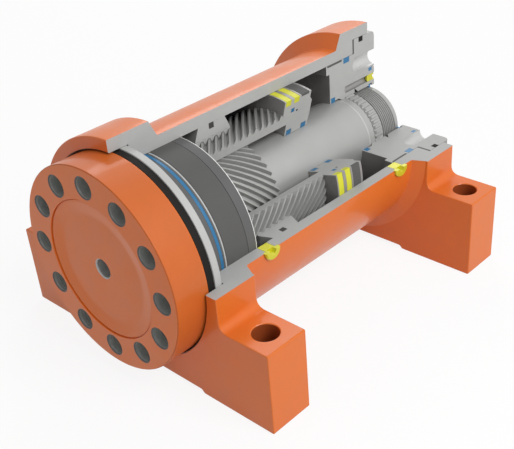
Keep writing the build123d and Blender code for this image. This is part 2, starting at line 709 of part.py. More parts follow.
# End cap: closes the rear chamber, is splined to the shaft, and runs in the housing's counterbore.
CAP_BODY_R = BORE_R - SEAL_GAP - SEAT_GAP
CAP_FLANGE_R = RECESS_R - SEAL_GAP - SEAT_GAP
CAP_NECK_R = NECK_R + SEAT_GAP
with BuildPart() as end_cap:
    with BuildSketch(radial_plane(CUT_LOW)):
        with BuildLine():
            Polyline(
                (JOURNAL_R + SEAT_GAP, CAP_RIM_Y + CAP_DISH_DEPTH),
                (CAP_BODY_R - CAP_RIM_WIDTH, CAP_RIM_Y + CAP_DISH_DEPTH),
                (CAP_BODY_R - CAP_RIM_WIDTH, CAP_RIM_Y),
                (CAP_BODY_R, CAP_RIM_Y),
                (CAP_BODY_R, CAP_WEAR_Y),
                (CAP_BODY_R - CAP_WEAR_DEPTH, CAP_WEAR_Y),
                (CAP_BODY_R - CAP_WEAR_DEPTH, CAP_WEAR_Y + CAP_WEAR_LENGTH),
                (CAP_BODY_R, CAP_WEAR_Y + CAP_WEAR_LENGTH),
                (CAP_BODY_R, CAP_SEAL_Y),
                (CAP_BODY_R - CAP_SEAL_DEPTH, CAP_SEAL_Y),
                (CAP_BODY_R - CAP_SEAL_DEPTH, CAP_SEAL_Y + CAP_SEAL_LENGTH),
                (CAP_BODY_R, CAP_SEAL_Y + CAP_SEAL_LENGTH),
                (CAP_BODY_R, CAP_FLANGE_Y),
                (CAP_FLANGE_R, CAP_FLANGE_Y),
                (CAP_FLANGE_R, DUST_RING_Y),
                (CAP_FLANGE_R - DUST_RING_DEPTH, DUST_RING_Y),
                (CAP_FLANGE_R - DUST_RING_DEPTH, DUST_RING_Y + DUST_RING_LENGTH),
                (CAP_FLANGE_R, DUST_RING_Y + DUST_RING_LENGTH),
                (CAP_FLANGE_R, CAP_REAR_Y - CAP_CORNER_R),
            )
            RadiusArc(
                (CAP_FLANGE_R, CAP_REAR_Y - CAP_CORNER_R),
                (CAP_FLANGE_R - CAP_CORNER_R, CAP_REAR_Y),
                -CAP_CORNER_R,
            )
            Polyline(
                (CAP_FLANGE_R - CAP_CORNER_R, CAP_REAR_Y),
                (NUT_R + SEAT_GAP, CAP_REAR_Y),
                (NUT_R + SEAT_GAP, CAP_FLANGE_Y),
                (CAP_NECK_R, CAP_FLANGE_Y),
                (CAP_NECK_R, JOURNAL_END_Y + NECK_TAPER + SEAT_GAP),
                (JOURNAL_R + SEAT_GAP, JOURNAL_END_Y + SEAT_GAP),
                (JOURNAL_R + SEAT_GAP, CAP_INNER_SEAL_Y + CAP_INNER_SEAL_LENGTH),
                (JOURNAL_R + CAP_INNER_SEAL_DEPTH, CAP_INNER_SEAL_Y + CAP_INNER_SEAL_LENGTH),
                (JOURNAL_R + CAP_INNER_SEAL_DEPTH, CAP_INNER_SEAL_Y),
                (JOURNAL_R + SEAT_GAP, CAP_INNER_SEAL_Y),
                (JOURNAL_R + SEAT_GAP, CAP_RIM_Y + CAP_DISH_DEPTH),
            )
        make_face()
    revolve(axis=Axis.Y, revolution_arc=FIXED_ARC)
    with BuildSketch(cross_plane(CAP_FLANGE_Y)):
        with PolarLocations(SCREW_CIRCLE_R, SCREW_COUNT, SCREW_START):
            Circle(SCREW_R)
    extrude(amount=-PIN_HOLE_DEPTH, mode=Mode.SUBTRACT)
    with BuildSketch(cross_plane(CAP_FLANGE_Y)):
        with PolarLocations(CAP_HOLE_CIRCLE_R, CAP_HOLES):
            Circle(CAP_HOLE_R)
    extrude(amount=CAP_REAR_Y - CAP_FLANGE_Y, mode=Mode.SUBTRACT)
finish_piece(end_cap, "end_cap")

make_ring(
    "cap_wear_ring",
    box_outline(
        CAP_BODY_R - CAP_WEAR_DEPTH + SEAT_GAP,
        BORE_R - BEARING_GAP,
        CAP_WEAR_Y + SEAT_GAP,
        CAP_WEAR_Y + CAP_WEAR_LENGTH - SEAT_GAP,
    ),
)
make_ring(
    "cap_seal",
    box_outline(
        CAP_BODY_R - CAP_SEAL_DEPTH + SEAT_GAP,
        BORE_R - SEAL_GAP,
        CAP_SEAL_Y + SEAT_GAP,
        CAP_SEAL_Y + CAP_SEAL_LENGTH - SEAT_GAP,
    ),
)
make_ring(
    "cap_shaft_seal",
    box_outline(
        JOURNAL_R + SEAT_GAP,
        JOURNAL_R + CAP_INNER_SEAL_DEPTH - SEAT_GAP,
        CAP_INNER_SEAL_Y + SEAT_GAP,
        CAP_INNER_SEAL_Y + CAP_INNER_SEAL_LENGTH - SEAT_GAP,
    ),
)
make_ring(
    "cap_dust_ring",
    box_outline(
        CAP_FLANGE_R - DUST_RING_DEPTH + SEAT_GAP,
        RECESS_R - SEAL_GAP,
        DUST_RING_Y + SEAT_GAP,
        DUST_RING_Y + DUST_RING_LENGTH - SEAT_GAP,
    ),
)
make_ring(
    "rear_thrust_washer",
    box_outline(
        CAP_BODY_R + RING_SIDE_GAP,
        RECESS_R - SEAL_GAP,
        CAP_FLANGE_Y - SEAT_GAP - WASHER_THICKNESS,
        CAP_FLANGE_Y - SEAT_GAP,
    ),
)


# Lock nut: holds the cap on its spline, with set screws against the cap.
with BuildPart() as lock_nut:
    turn(
        [
            (THREAD_R + SEAT_GAP, NUT_FRONT_Y + SEAT_GAP),
            (NUT_R, NUT_FRONT_Y + SEAT_GAP),
            (NUT_R, NUT_SEAL_Y),
            (NUT_R - NUT_OUTER_SEAL_DEPTH, NUT_SEAL_Y),
            (NUT_R - NUT_OUTER_SEAL_DEPTH, NUT_SEAL_Y + NUT_SEAL_LENGTH),
            (NUT_R, NUT_SEAL_Y + NUT_SEAL_LENGTH),
            (NUT_R, CAP_REAR_Y - NUT_CHAMFER),
            (NUT_R - NUT_CHAMFER, CAP_REAR_Y),
            (THREAD_R + SEAT_GAP, CAP_REAR_Y),
            (THREAD_R + SEAT_GAP, NUT_SEAL_Y + NUT_SEAL_LENGTH),
            (THREAD_R + NUT_INNER_SEAL_DEPTH, NUT_SEAL_Y + NUT_SEAL_LENGTH),
            (THREAD_R + NUT_INNER_SEAL_DEPTH, NUT_SEAL_Y),
            (THREAD_R + SEAT_GAP, NUT_SEAL_Y),
        ]
    )
    with BuildSketch(cross_plane(NUT_FRONT_Y)):
        with PolarLocations(SCREW_CIRCLE_R, SCREW_COUNT, SCREW_START):
            Circle(SCREW_R)
    extrude(amount=CAP_REAR_Y - NUT_FRONT_Y, mode=Mode.SUBTRACT)
finish_piece(lock_nut, "lock_nut")

SCREW_REAR_Y = CAP_REAR_Y - SCREW_INSET
with BuildPart() as nut_set_screws:
    with BuildSketch(cross_plane(SCREW_REAR_Y - SCREW_LENGTH)):
        with PolarLocations(SCREW_CIRCLE_R, SCREW_COUNT, SCREW_START):
            Circle(SCREW_R - SEAT_GAP)
    extrude(amount=SCREW_LENGTH)
    with BuildSketch(cross_plane(SCREW_REAR_Y)):
        with PolarLocations(SCREW_CIRCLE_R, SCREW_COUNT, SCREW_START):
            RegularPolygon(SCREW_HEX_ACROSS_FLATS / 2, 6, major_radius=False)
    extrude(amount=-SCREW_HEX_DEPTH, mode=Mode.SUBTRACT)
    with BuildSketch(Plane.XZ):
        Rectangle(FAR, FAR, align=(Align.MIN, Align.MIN))
    extrude(amount=-CAP_REAR_Y, mode=Mode.SUBTRACT)
finish_piece(nut_set_screws, "nut_set_screws")

make_ring(
    "nut_shaft_seal",
    box_outline(
        SHAFT_END_R + SEAT_GAP,
        THREAD_R + NUT_INNER_SEAL_DEPTH - SEAT_GAP,
        NUT_SEAL_Y + SEAT_GAP,
        SHAFT_END_Y - SHAFT_END_CHAMFER,
    ),
)
make_ring(
    "nut_outer_seal",
    box_outline(
        NUT_R - NUT_OUTER_SEAL_DEPTH + SEAT_GAP,
        NUT_R,
        NUT_SEAL_Y + SEAT_GAP,
        NUT_SEAL_Y + NUT_SEAL_LENGTH - SEAT_GAP,
    ),
)
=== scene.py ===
import math

import bmesh
import bpy
import numpy as np
from mathutils import Matrix, Vector


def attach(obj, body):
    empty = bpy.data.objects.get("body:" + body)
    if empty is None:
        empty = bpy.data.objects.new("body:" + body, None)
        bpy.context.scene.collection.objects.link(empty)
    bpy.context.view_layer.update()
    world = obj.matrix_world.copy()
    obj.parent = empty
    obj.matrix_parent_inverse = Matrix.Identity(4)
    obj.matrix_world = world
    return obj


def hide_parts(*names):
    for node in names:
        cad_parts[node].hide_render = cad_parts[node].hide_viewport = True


# Hydraulic rotary actuator, cut open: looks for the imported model, in its own frame.
# Lengths are in millimetres and angles in degrees, unless it says otherwise; the meshes are in metres.
# The shaft's axis is Y, and angles round it are counted from +X towards +Z.
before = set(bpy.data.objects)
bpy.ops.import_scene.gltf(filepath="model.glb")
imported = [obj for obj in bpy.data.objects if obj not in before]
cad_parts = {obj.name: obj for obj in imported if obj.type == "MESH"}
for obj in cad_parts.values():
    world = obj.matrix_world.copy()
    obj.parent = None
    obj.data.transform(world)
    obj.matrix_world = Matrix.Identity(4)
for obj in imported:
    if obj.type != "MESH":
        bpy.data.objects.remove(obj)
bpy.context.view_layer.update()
MM = 0.001

# The housing's open quadrant and the sector cut from the piston.
OPEN = (0.0, 90.0)
PISTON_OPEN = (15.0, 75.0)
# Steps in a full turn of the large surfaces, of drilled holes, and of the set screws' holes.
ROUND_STEPS, DRILL_STEPS, PIN_STEPS = 192, 64, 32
# Holes in the flange, and places for them in the end cap.
HOLES = 12


# ------------------------ shapes
EASE_SHARE = 0.45
NO_LENGTH, SAME_POINT = 1e-9, 1e-5


def eased(corners, ease, steps=3, closed=True):
    """Softens an outline. Each corner c becomes the curve (1-t)^2 a + 2t(1-t) c + t^2 b, where a and b lie
    a distance `ease` before and after the corner, or EASE_SHARE of a short side, and t runs from 0 to 1."""
    c = np.asarray(corners, float)
    before, after = np.roll(c, 1, 0) - c, np.roll(c, -1, 0) - c
    run_in, run_out = np.linalg.norm(before, axis=1), np.linalg.norm(after, axis=1)
    wanted = np.broadcast_to(ease, len(c)).astype(float)
    reach = np.minimum(wanted, EASE_SHARE * np.minimum(run_in, run_out))
    if not closed:
        reach[[0, -1]] = 0
    a = c + before * (reach / np.maximum(run_in, NO_LENGTH))[:, None]
    b = c + after * (reach / np.maximum(run_out, NO_LENGTH))[:, None]
    t = np.linspace(0, 1, steps + 1)[None, :, None]
    curve = (1 - t) ** 2 * a[:, None] + 2 * t * (1 - t) * c[:, None] + t**2 * b[:, None]
    points = curve.reshape(-1, c.shape[1])
    apart = np.linalg.norm(points - np.roll(points, 1, 0), axis=1) > SAME_POINT
    if not closed:
        apart[0] = True
    return points[apart]


def grid_faces(rows, columns, rows_close=False, columns_close=False):
    """Quads of a grid: corner (i, j) joins (i, j+1), (i+1, j+1) and (i+1, j)."""
    i, j = np.meshgrid(
        np.arange(rows if rows_close else rows - 1),
        np.arange(columns if columns_close else columns - 1),
        indexing="ij",
    )
    here, next_row = i * columns, (i + 1) % rows * columns
    j2 = (j + 1) % columns
    return np.stack([here + j, here + j2, next_row + j2, next_row + j], -1).reshape(-1, 4)


def skin(points, rows_close=False, columns_close=False, ends=False):
    """A surface over a grid, as its points, quads and flat faces. With ends, flat faces close the first and
    the last row."""
    rows, columns = points.shape[:2]
    flat = []
    if ends:
        flat = [np.arange(columns), np.arange(columns) + (rows - 1) * columns]
    return points.reshape(-1, 3), grid_faces(rows, columns, rows_close, columns_close), flat


def about_axis(radius, angle, y):
    """The point (r cos a, y, r sin a) of a radius, an angle in radians and a height."""
    radius, angle, y = np.broadcast_arrays(radius, angle, y)
    return np.stack([radius * np.cos(angle), y, radius * np.sin(angle)], -1)


def polar(radius, angle):
    """The (x, z) of a radius and an angle in radians."""
    return radius * math.cos(angle), radius * math.sin(angle)


def spun(points, angle):
    """Points turned by an angle a in radians about Y: (x cos a - z sin a, y, x sin a + z cos a)."""
    c, s = math.cos(angle), math.sin(angle)
    x, y, z = np.moveaxis(points, -1, 0)
    return np.stack([x * c - z * s, y, x * s + z * c], -1)


def carried_round(outline, angle):
    """An outline of (r, y) points at each of the angles in radians."""
    outline = np.asarray(outline, float)
    return about_axis(outline[None, :, 0], angle[:, None], outline[None, :, 1])


def turned(outline, span=None, steps=ROUND_STEPS):
    """A lathe surface: the closed outline of (r, y) points carried round the axis at (r cos a, y, r sin a).
    With span, a runs over that part of the circle and both ends get the flat section."""
    if span is None:
        angle = np.radians(360 * np.arange(steps) / steps)
    else:
        count = max(6, round(steps * (span[1] - span[0]) / 360))
        angle = np.radians(np.linspace(span[0], span[1], count + 1))
    points = carried_round(outline, angle)
    return skin(points, rows_close=span is None, columns_close=True, ends=span is not None)


def kept(span):
    """The part of the circle that stays when a sector is cut open. None stands for a whole circle."""
    return span and (span[1], span[0] + 360)


AXIS_ORDER = {"X": [1, 0, 2], "Y": [0, 1, 2], "Z": [0, 2, 1]}


def bored(outline, place, axis="Y", span=None, steps=DRILL_STEPS):
    """The lathe surface of `turned` round an axis of its own, parallel to X, Y or Z, through a place."""
    points, quads, flat = turned(outline, span, steps)
    return points[:, AXIS_ORDER[axis]] + np.array(place), quads, flat


def prism(outline, y_low, y_high):
    """An outline of (x, z) points carried straight along Y, closed at both ends."""
    outline = np.asarray(outline, float)
    rows = np.stack([np.insert(outline, 1, y, axis=1) for y in (y_low, y_high)])
    return skin(rows, columns_close=True, ends=True)


FLANK_LEAN = 20


def tooth_round(count, pitch_r, root_r, tip_r, width, ease=0.3, steps=2):
    """The outline of one round of straight-flanked teeth, as angles in radians and radii. A flank leans by
    FLANK_LEAN, so half the tooth's width at radius r is width / 2 - (r - pitch_r) tan FLANK_LEAN."""
    lean = math.tan(math.radians(FLANK_LEAN))
    radii = np.array([root_r, tip_r, tip_r, root_r])
    half = (width / 2 - (radii - pitch_r) * lean) * np.array([-1, -1, 1, 1])
    pitch = 2 * math.pi * pitch_r / count
    three = np.concatenate([np.stack([half + k * pitch, radii], -1) for k in (-1, 0, 1)])
    soft = eased(three, ease, steps, closed=False)
    middle = soft[(soft[:, 0] >= -pitch / 2) & (soft[:, 0] < pitch / 2)]
    angle = middle[None, :, 0] / pitch_r + 2 * math.pi * np.arange(count)[:, None] / count
    return angle.ravel(), np.tile(middle[:, 1], count)


WALL_TWIST = 8


def toothed(tooth, twist, y_low, y_high, inner_r, chamfer=0.0, step=2.0):
    """Helical teeth: at height y the whole outline has turned by twist degrees a millimetre, clockwise seen
    along +Y. The surface comes back along a plain wall of inner_r, whose rows turn alike, WALL_TWIST degrees
    apart, so that the wall stays round."""
    angle, radius = tooth
    rows = max(2, int(math.ceil((y_high - y_low) / step)))
    y = np.concatenate([[y_low], np.linspace(y_low + chamfer, y_high - chamfer, rows), [y_high]])
    r = np.tile(radius, (len(y), 1))
    if chamfer:
        r[[0, -1]] = np.minimum(radius, radius.max() - chamfer)
    back_rows = max(1, math.ceil(abs(twist) * (y_high - y_low) / WALL_TWIST))
    back = np.linspace(y_high, y_low, 1 + back_rows)
    y = np.concatenate([y, back])
    r = np.concatenate([r, np.full((len(back), len(angle)), inner_r)])
    turn = -(angle[None, :] + np.radians(twist * y)[:, None])
    return skin(about_axis(r, turn, y[:, None]), rows_close=True, columns_close=True)


def full_turn(angle):
    """A round of angles in radians with the first one repeated a turn later, the way the round runs."""
    return np.append(angle, angle[0] + math.copysign(2 * math.pi, angle[-1] - angle[0]))


def threaded(crest_r, root_r, wall_r, pitch, y_low, y_high, angle, per_turn=4):
    """Rows of a right-handed thread: row j climbs one pitch in each turn, y = y_low + (j / n + a / 360) pitch,
    held between the two ends, and its radius follows a 60 degree groove with flats. Both ends reach wall_r.
    The last column repeats the first, which `clean` merges."""
    turns = int(math.ceil((y_high - y_low) / pitch)) + 1
    j = np.arange(-per_turn, turns * per_turn + 1)
    wave = np.abs((((j + 0.5) / per_turn) % 1) * 2 - 1)
    shape = np.clip(wave * 2 - 0.5, 0, 1)
    around = full_turn(angle)
    climbed = j[:, None] / per_turn + (around[None, :] - angle[0]) / (2 * math.pi)
    y = np.clip(y_low + climbed * pitch, y_low, y_high)
    r = np.broadcast_to((root_r + (crest_r - root_r) * shape)[:, None], y.shape).copy()
    wall = np.full((1, y.shape[1]), wall_r)
    y = np.concatenate([np.full_like(wall, y_low), y, np.full_like(wall, y_high)])
    r = np.concatenate([wall, r, wall])
    return about_axis(r, -np.broadcast_to(around[None, :], y.shape), y)


def tapped_hole(angle, mouth, thread, plain, tip_y):
    """Rows of a tapped hole at the given angles in radians: its mouth (r, y), the thread (its crest, root and
    wall radius, pitch and two ends), a length of plain wall, and the drill's tip."""
    wall = threaded(*thread, -angle)
    rim = about_axis(mouth[0], full_turn(angle), mouth[1])[None]
    tip = np.broadcast_to([0.0, tip_y, 0.0], rim.shape)
    return np.concatenate([rim, wall, wall[-1:] + np.array([0, plain, 0]), tip])


# ------------------------ meshes
MERGE_M, FLAT_M = 2e-6, 1e-7


def placed(name, data):
    """A new object in the scene for a mesh, a lamp or a camera."""
    made = bpy.data.objects.new(name, data)
    bpy.context.scene.collection.objects.link(made)
    return made


def clean(mesh):
    """Merges coinciding points, drops faces with no area and turns the rest outwards."""
    work = bmesh.new()
    work.from_mesh(mesh)
    bmesh.ops.remove_doubles(work, verts=work.verts, dist=MERGE_M)
    bmesh.ops.dissolve_degenerate(work, edges=work.edges, dist=FLAT_M)
    bmesh.ops.recalc_face_normals(work, faces=work.faces)
    work.to_mesh(mesh)
    work.free()


def assemble(name, *shells):
    """Joins shells into one clean object, in metres."""
    offset, points, faces = 0, [], []
    for shell_points, quads, flat in shells:
        points.append(shell_points)
        faces += (quads + offset).tolist() + [(f + offset).tolist() for f in flat]
        offset += len(shell_points)
    mesh = bpy.data.meshes.new(name)
    mesh.from_pydata((np.concatenate(points) * MM).tolist(), [], faces)
    piece = placed(name, mesh)
    clean(mesh)
    return piece


def join(name, *pieces):
    """Puts finished parts into one mesh under one name."""
    joined = bmesh.new()
    for piece in pieces:
        joined.from_mesh(piece.data)
    mesh = bpy.data.meshes.new(name)
    joined.to_mesh(mesh)
    joined.free()
    for piece in pieces:
        bpy.data.objects.remove(piece)
    return placed(name, mesh)


def carve(piece, *cutters):
    """Takes each cutter's volume out of the piece, and removes the cutters."""
    for cutter in cutters:
        cut = piece.modifiers.new("carve", "BOOLEAN")
        cut.operation, cut.solver, cut.object = "DIFFERENCE", "MANIFOLD", cutter
    bpy.context.view_layer.update()
    evaluated = piece.evaluated_get(bpy.context.evaluated_depsgraph_get())
    carved = bpy.data.meshes.new_from_object(evaluated)
    piece.modifiers.clear()
    piece.data = carved
    for cutter in cutters:
        bpy.data.objects.remove(cutter)


def wedge(span, y_low=-50, y_high=500, reach=400):
    """A sector between two angles that goes past the whole model, to cut a piece open."""
    low, middle, high = np.radians([span[0], (span[0] + span[1]) / 2, span[1]])
    corners = [(0, 0)] + [polar(reach, a) for a in (low, middle, high)]
    return assemble("wedge", prism(corners, y_low, y_high))


# ------------------------ materials
def linear(hex_colour):
    """An sRGB hex colour as linear red, green, blue and alpha."""
    c = np.array([int(hex_colour[i : i + 2], 16) for i in (0, 2, 4)]) / 255
    c = np.where(c <= 0.04045, c / 12.92, ((c + 0.055) / 1.055) ** 2.4)
    return (*c.tolist(), 1.0)


def bare_tree(owner):
    """The emptied node tree of a material or a world."""
    owner.use_nodes = True
    owner.node_tree.nodes.clear()
    return owner.node_tree


def add(tree, kind, settings=None, values=None, links=None):
    """Adds one node with its settings, socket values and links from other nodes' sockets."""
    made = tree.nodes.new(kind)
    for name, value in (settings or {}).items():
        setattr(made, name, value)
    for name, value in (values or {}).items():
        made.inputs[name].default_value = value
    for name, source in (links or {}).items():
        tree.links.new(source, made.inputs[name])
    return made


def noise(tree, place, size_mm, detail, rough):
    """The factor of a noise whose features are size_mm across."""
    values = {"Scale": 1 / (size_mm * MM), "Detail": detail, "Roughness": rough}
    return add(tree, "ShaderNodeTexNoise", values=values, links={"Vector": place}).outputs["Fac"]


def raised(tree, depth_mm, links):
    """The normal of a relief of the given depth."""
    values = {"Strength": 1.0, "Distance": depth_mm * MM}
    return add(tree, "ShaderNodeBump", values=values, links=links).outputs["Normal"]


# The colour sockets of a Mix node, and how far two noises added and one noise reach.
MIX_A, MIX_B, MIX_RESULT = 6, 7, 2
TWO_NOISES = {"From Min": 0.55, "From Max": 1.45}
ONE_NOISE = {"From Min": 0.3, "From Max": 0.7}
MOTTLE_MM, GLOSS_SPREAD, COAT_ROUGH = 22, 0.06, 0.12


def material(
    name, base, rough, metallic=0.0, specular=0.5, coat=0.0,
    tone=0.12, grain_mm=1.0, bump=0.02, lathe=0.0, lathe_mm=0.5,
):
    """A finish: the base colour is shaded up and down by a share `tone` with two sizes of mottling, and the
    broad one varies the gloss too. A grain of the given size raises the surface by bump, and lathe marks,
    where there are any, are rings that depend on radius and height alone, lathe_mm apart and lathe deep."""
    made = bpy.data.materials.new(name)
    tree = bare_tree(made)
    place = add(tree, "ShaderNodeTexCoord").outputs["Object"]
    fine = noise(tree, place, grain_mm, 3.0, 0.6)
    broad = noise(tree, place, MOTTLE_MM, 4.0, 0.55)
    both = add(tree, "ShaderNodeMath", {"operation": "ADD"}, links={0: fine, 1: broad})
    shade = add(tree, "ShaderNodeMapRange", values=TWO_NOISES, links={"Value": both.outputs[0]})
    dark, light = (tuple(np.array(linear(base)) * [1 - s, 1 - s, 1 - s, 1]) for s in (tone, -tone))
    mixed = {MIX_A: dark, MIX_B: light}
    colour = add(tree, "ShaderNodeMix", {"data_type": "RGBA"}, mixed, {0: shade.outputs[0]})
    spread = ONE_NOISE | {"To Min": rough - GLOSS_SPREAD, "To Max": rough + GLOSS_SPREAD}
    gloss = add(tree, "ShaderNodeMapRange", values=spread, links={"Value": broad})
    relief = raised(tree, bump, {"Height": fine})
    if lathe:
        apart = add(tree, "ShaderNodeSeparateXYZ", links={"Vector": place}).outputs
        flat = add(tree, "ShaderNodeCombineXYZ", links={"X": apart["X"], "Z": apart["Z"]})
        radius = add(tree, "ShaderNodeVectorMath", {"operation": "LENGTH"}, links={0: flat.outputs[0]})
        rings = add(tree, "ShaderNodeCombineXYZ", links={"X": radius.outputs["Value"], "Y": apart["Y"]})
        marks = noise(tree, rings.outputs[0], lathe_mm, 2.0, 0.5)
        relief = raised(tree, lathe, {"Height": marks, "Normal": relief})
    values = {"Metallic": metallic, "Specular IOR Level": specular}
    values |= {"Coat Weight": coat, "Coat Roughness": COAT_ROUGH}
    links = {"Base Color": colour.outputs[MIX_RESULT], "Roughness": gloss.outputs[0], "Normal": relief}
    surface = add(tree, "ShaderNodeBsdfPrincipled", values=values, links=links)
    add(tree, "ShaderNodeOutputMaterial", links={"Surface": surface.outputs[0]})
    return made


# Orange machine enamel, sprayed on: even colour, faint orange peel, a soft gloss.
THIN = {"grain_mm": 0.9, "tone": 0.05}
FULL = THIN | {"coat": 0.3, "specular": 0.25}
enamel = material("orange_enamel_on_cast_iron", "E17229", 0.45, bump=0.012, **FULL)
# The same enamel over the flange's turned rim, darker than on the casting: painted shade on the rim.
rim_shade_enamel = material("orange_enamel_darkened_for_rim_shade", "CE6728", 0.45, bump=0.01, **FULL)
# The same enamel on the flange's turned edge, darker: a painted dark line that stands in for shade along the
# edge.
edge_line_enamel = material("orange_enamel_painted_dark_edge", "B85C28", 0.5, specular=0.2, **THIN)
# Darker enamel on the drilled walls of the foot holes: painted shade inside the holes.
hole_shade_enamel = material("enamel_darkened_for_hole_shade", "9C4A22", 0.6, grain_mm=0.8, specular=0.2)
# Saw-cut and ground section of the steel: light, dull and slightly mottled.
section_steel = material(
    "sectioned_carbon_steel", "B4B4B2", 0.6, grain_mm=0.7, tone=0.06, bump=0.01, specular=0.3
)
# Turned carbon steel of the bores and shoulders.
bore_steel = material("bored_carbon_steel", "9A9896", 0.42, metallic=0.4, lathe=0.01, lathe_mm=0.4, tone=0.08)
# Ground alloy steel of the journal.
shaft_steel = material(
    "ground_alloy_steel", "B0B0AE", 0.38, metallic=0.25, lathe=0.004, lathe_mm=0.3, tone=0.04
)
# Lighter steel: a painted highlight line on the journal's chamfer, and the cap's drilled walls, a touch
# lighter.
light_steel_and_highlight = material("light_steel_and_chamfer_highlight", "C8C8C6", 0.36, metallic=0.2, lathe=0.004, tone=0.04)
# Milled tooth flanks, a little duller.
tooth_steel = material("milled_gear_steel", "A4A4A2", 0.42, metallic=0.25, tone=0.06, grain_mm=0.6)
# Phosphated steel of the drum.
drum_steel = material("phosphated_steel", "656565", 0.5, metallic=0.1, tone=0.06, lathe=0.006, specular=0.15)
# A painted highlight: a near-white line along the drum's rear edge.
drum_edge_highlight = material("painted_drum_edge_highlight", "EDEDEB", 0.35, tone=0.03)
# Darker steel in the roots of the shaft's thread and of its splines: painted shade in the grooves.
root_shade_steel = material("painted_shade_in_thread_roots", "868684", 0.45, metallic=0.2, tone=0.06, grain_mm=0.6)
# Cut threads of the flange's holes, with a film of oil.
tapped_steel = material("oiled_tapped_steel", "B0B2AE", 0.4, metallic=0.2, tone=0.1)
# Blackened spring wire of the two locking rings; the same dark colour in the cap's bore is painted shade in the
# gap there.
wire_steel_and_gap_shade = material("blackened_wire_and_painted_gap_shade", "3E3C3A", 0.5, metallic=0.3, tone=0.1)
# Rubber of the wiper and the dust ring.
black_rubber = material("nitrile_rubber", "1B1917", 0.65, grain_mm=0.5, tone=0.15, bump=0.01, specular=0.18)
# Plastics of the guide rings and the seals: white, dark, blue and yellow.
white_ring = material("white_acetal", "BCBCBA", 0.45, tone=0.04)
dark_ring = material("filled_ptfe_bearing", "5D5D5C", 0.55, tone=0.08, lathe=0.004, specular=0.15)
blue_seal = material("blue_polyurethane", "26709E", 0.4, tone=0.08)
yellow_seal = material("yellow_polyurethane", "D9D82E", 0.4, tone=0.06)
# Yellow chromate on the port plugs and the set screws.
yellow_plug = material("yellow_chromated_steel", "D2CE2C", 0.35, metallic=0.2)


# ------------------------ finishes by face
IN_PLANE, SQUARE = 0.02, 0.999


def face_facts(piece):
    """Each face's centre in millimetres, its normal, and the centre's distance from the shaft's axis."""
    faces = piece.data.polygons
    centre, normal = np.empty(len(faces) * 3), np.empty(len(faces) * 3)
    faces.foreach_get("center", centre)
    faces.foreach_get("normal", normal)
    centre = centre.reshape(-1, 3) / MM
    return centre, normal.reshape(-1, 3), np.hypot(centre[:, 0], centre[:, 2])


def within(value, low, high):
    """True where a value lies between two limits."""
    return (value > low) & (value < high)


def near_holes(centre, circle_r, hole_r):
    """True where a face is no further than hole_r from the axis of one of the HOLES holes on a circle."""
    near = np.zeros(len(centre), bool)
    for k in range(HOLES):
        x, z = polar(circle_r, 2 * math.pi * k / HOLES)
        near |= np.hypot(centre[:, 0] - x, centre[:, 2] - z) < hole_r
    return near


def sectioned(piece, span):
    """The sectioned finish for the faces that lie in one of the two cut planes of an open sector."""
    centre, normal, _ = face_facts(piece)
    found = np.zeros(len(centre), bool)
    for angle in np.radians(span):
        across = np.array([-math.sin(angle), 0, math.cos(angle)])
        found |= (np.abs(centre @ across) < IN_PLANE) & (np.abs(normal @ across) > SQUARE)
    return section_steel, found


def dress(piece, node, body, slot, look, *patches, sharp=32):
    """Gives a piece its finish, its body and the CAD node that it stands for. The look covers all of it, and
    each patch (look, faces) goes over what came before. Edges sharper than `sharp` stay crisp."""
    mesh = piece.data
    mesh.materials.clear()
    looks = list(dict.fromkeys([look] + [patch for patch, _ in patches]))
    for each in looks:
        mesh.materials.append(each)
    marks = np.zeros(len(mesh.polygons), np.int32)
    for patch, faces in patches:
        marks[faces] = looks.index(patch)
    mesh.polygons.foreach_set("material_index", marks)
    mesh.polygons.foreach_set("use_smooth", np.ones(len(mesh.polygons), bool))
    mesh.set_sharp_from_angle(angle=math.radians(sharp))
    even = piece.modifiers.new("even", "WEIGHTED_NORMAL")
    even.keep_sharp = True
    mesh.update()
    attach(piece, body)
    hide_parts(node)


# ------------------------ housing
TUBE_R, BORE_R, RECESS_R, BOSS_R = 102.5, 90.0, 106.5, 119.2
FRONT_Y, FRONT_STEP_Y, REAR_STEP_Y, REAR_Y = 32.2, 54.9, 377.5, 404.5
# A bracket's length, the length of its cone down to the tube, and its edge before the cone starts.
BRACKET, FLANK, FLANK_DROP = 49.5, 8.0, 1.2
CONE_SLOPE = (BOSS_R - TUBE_R) / FLANK
CONE_R = BOSS_R - FLANK_DROP * CONE_SLOPE
FOOT_X, FOOT_TOP, FOOT_BASE = 177.5, -34.3, -124.0
FOOT_HOLE_X, FOOT_HOLE_R = 152.2, 13.0
FOOT_HOLE_Y = (FRONT_Y + BRACKET / 2, REAR_Y - BRACKET / 2)
# The milled relief under each bracket: where it starts, and its depth.
RELIEF_X, RELIEF = 87, 3.5
CAST_EDGE, MOUTH = 1.0, 0.8
# The ports on the +X side: radii of the plug's seat and of the bore below it, and the seat's distance out.
PORT_Y, PORT_R, PORT_DRILL_R, PORT_SEAT = (122.0, 327.0), 10.3, 6.6, 101.0

# Round the open housing from the upper cut plane to the lower one. A bracket has the boss's arc down to the
# level of the axis, then a path of (x, z) points, mirrored here, over one foot, below, and over the other.
around = np.radians(np.linspace(*kept(OPEN), 217))
upper = around[around <= math.pi + 1e-6]
half_path = [
    (BOSS_R, 0), (BOSS_R, FOOT_TOP), (FOOT_X, FOOT_TOP), (FOOT_X, FOOT_BASE), (RELIEF_X, FOOT_BASE),
    (RELIEF_X - RELIEF, FOOT_BASE + RELIEF),
]
half_ease = [0, 10, 2, 2, 1.4, 1.4]
whole_path = [(-x, z) for x, z in half_path] + half_path[::-1]
lower_path = eased(whole_path, half_ease + half_ease[::-1], 6, closed=False)


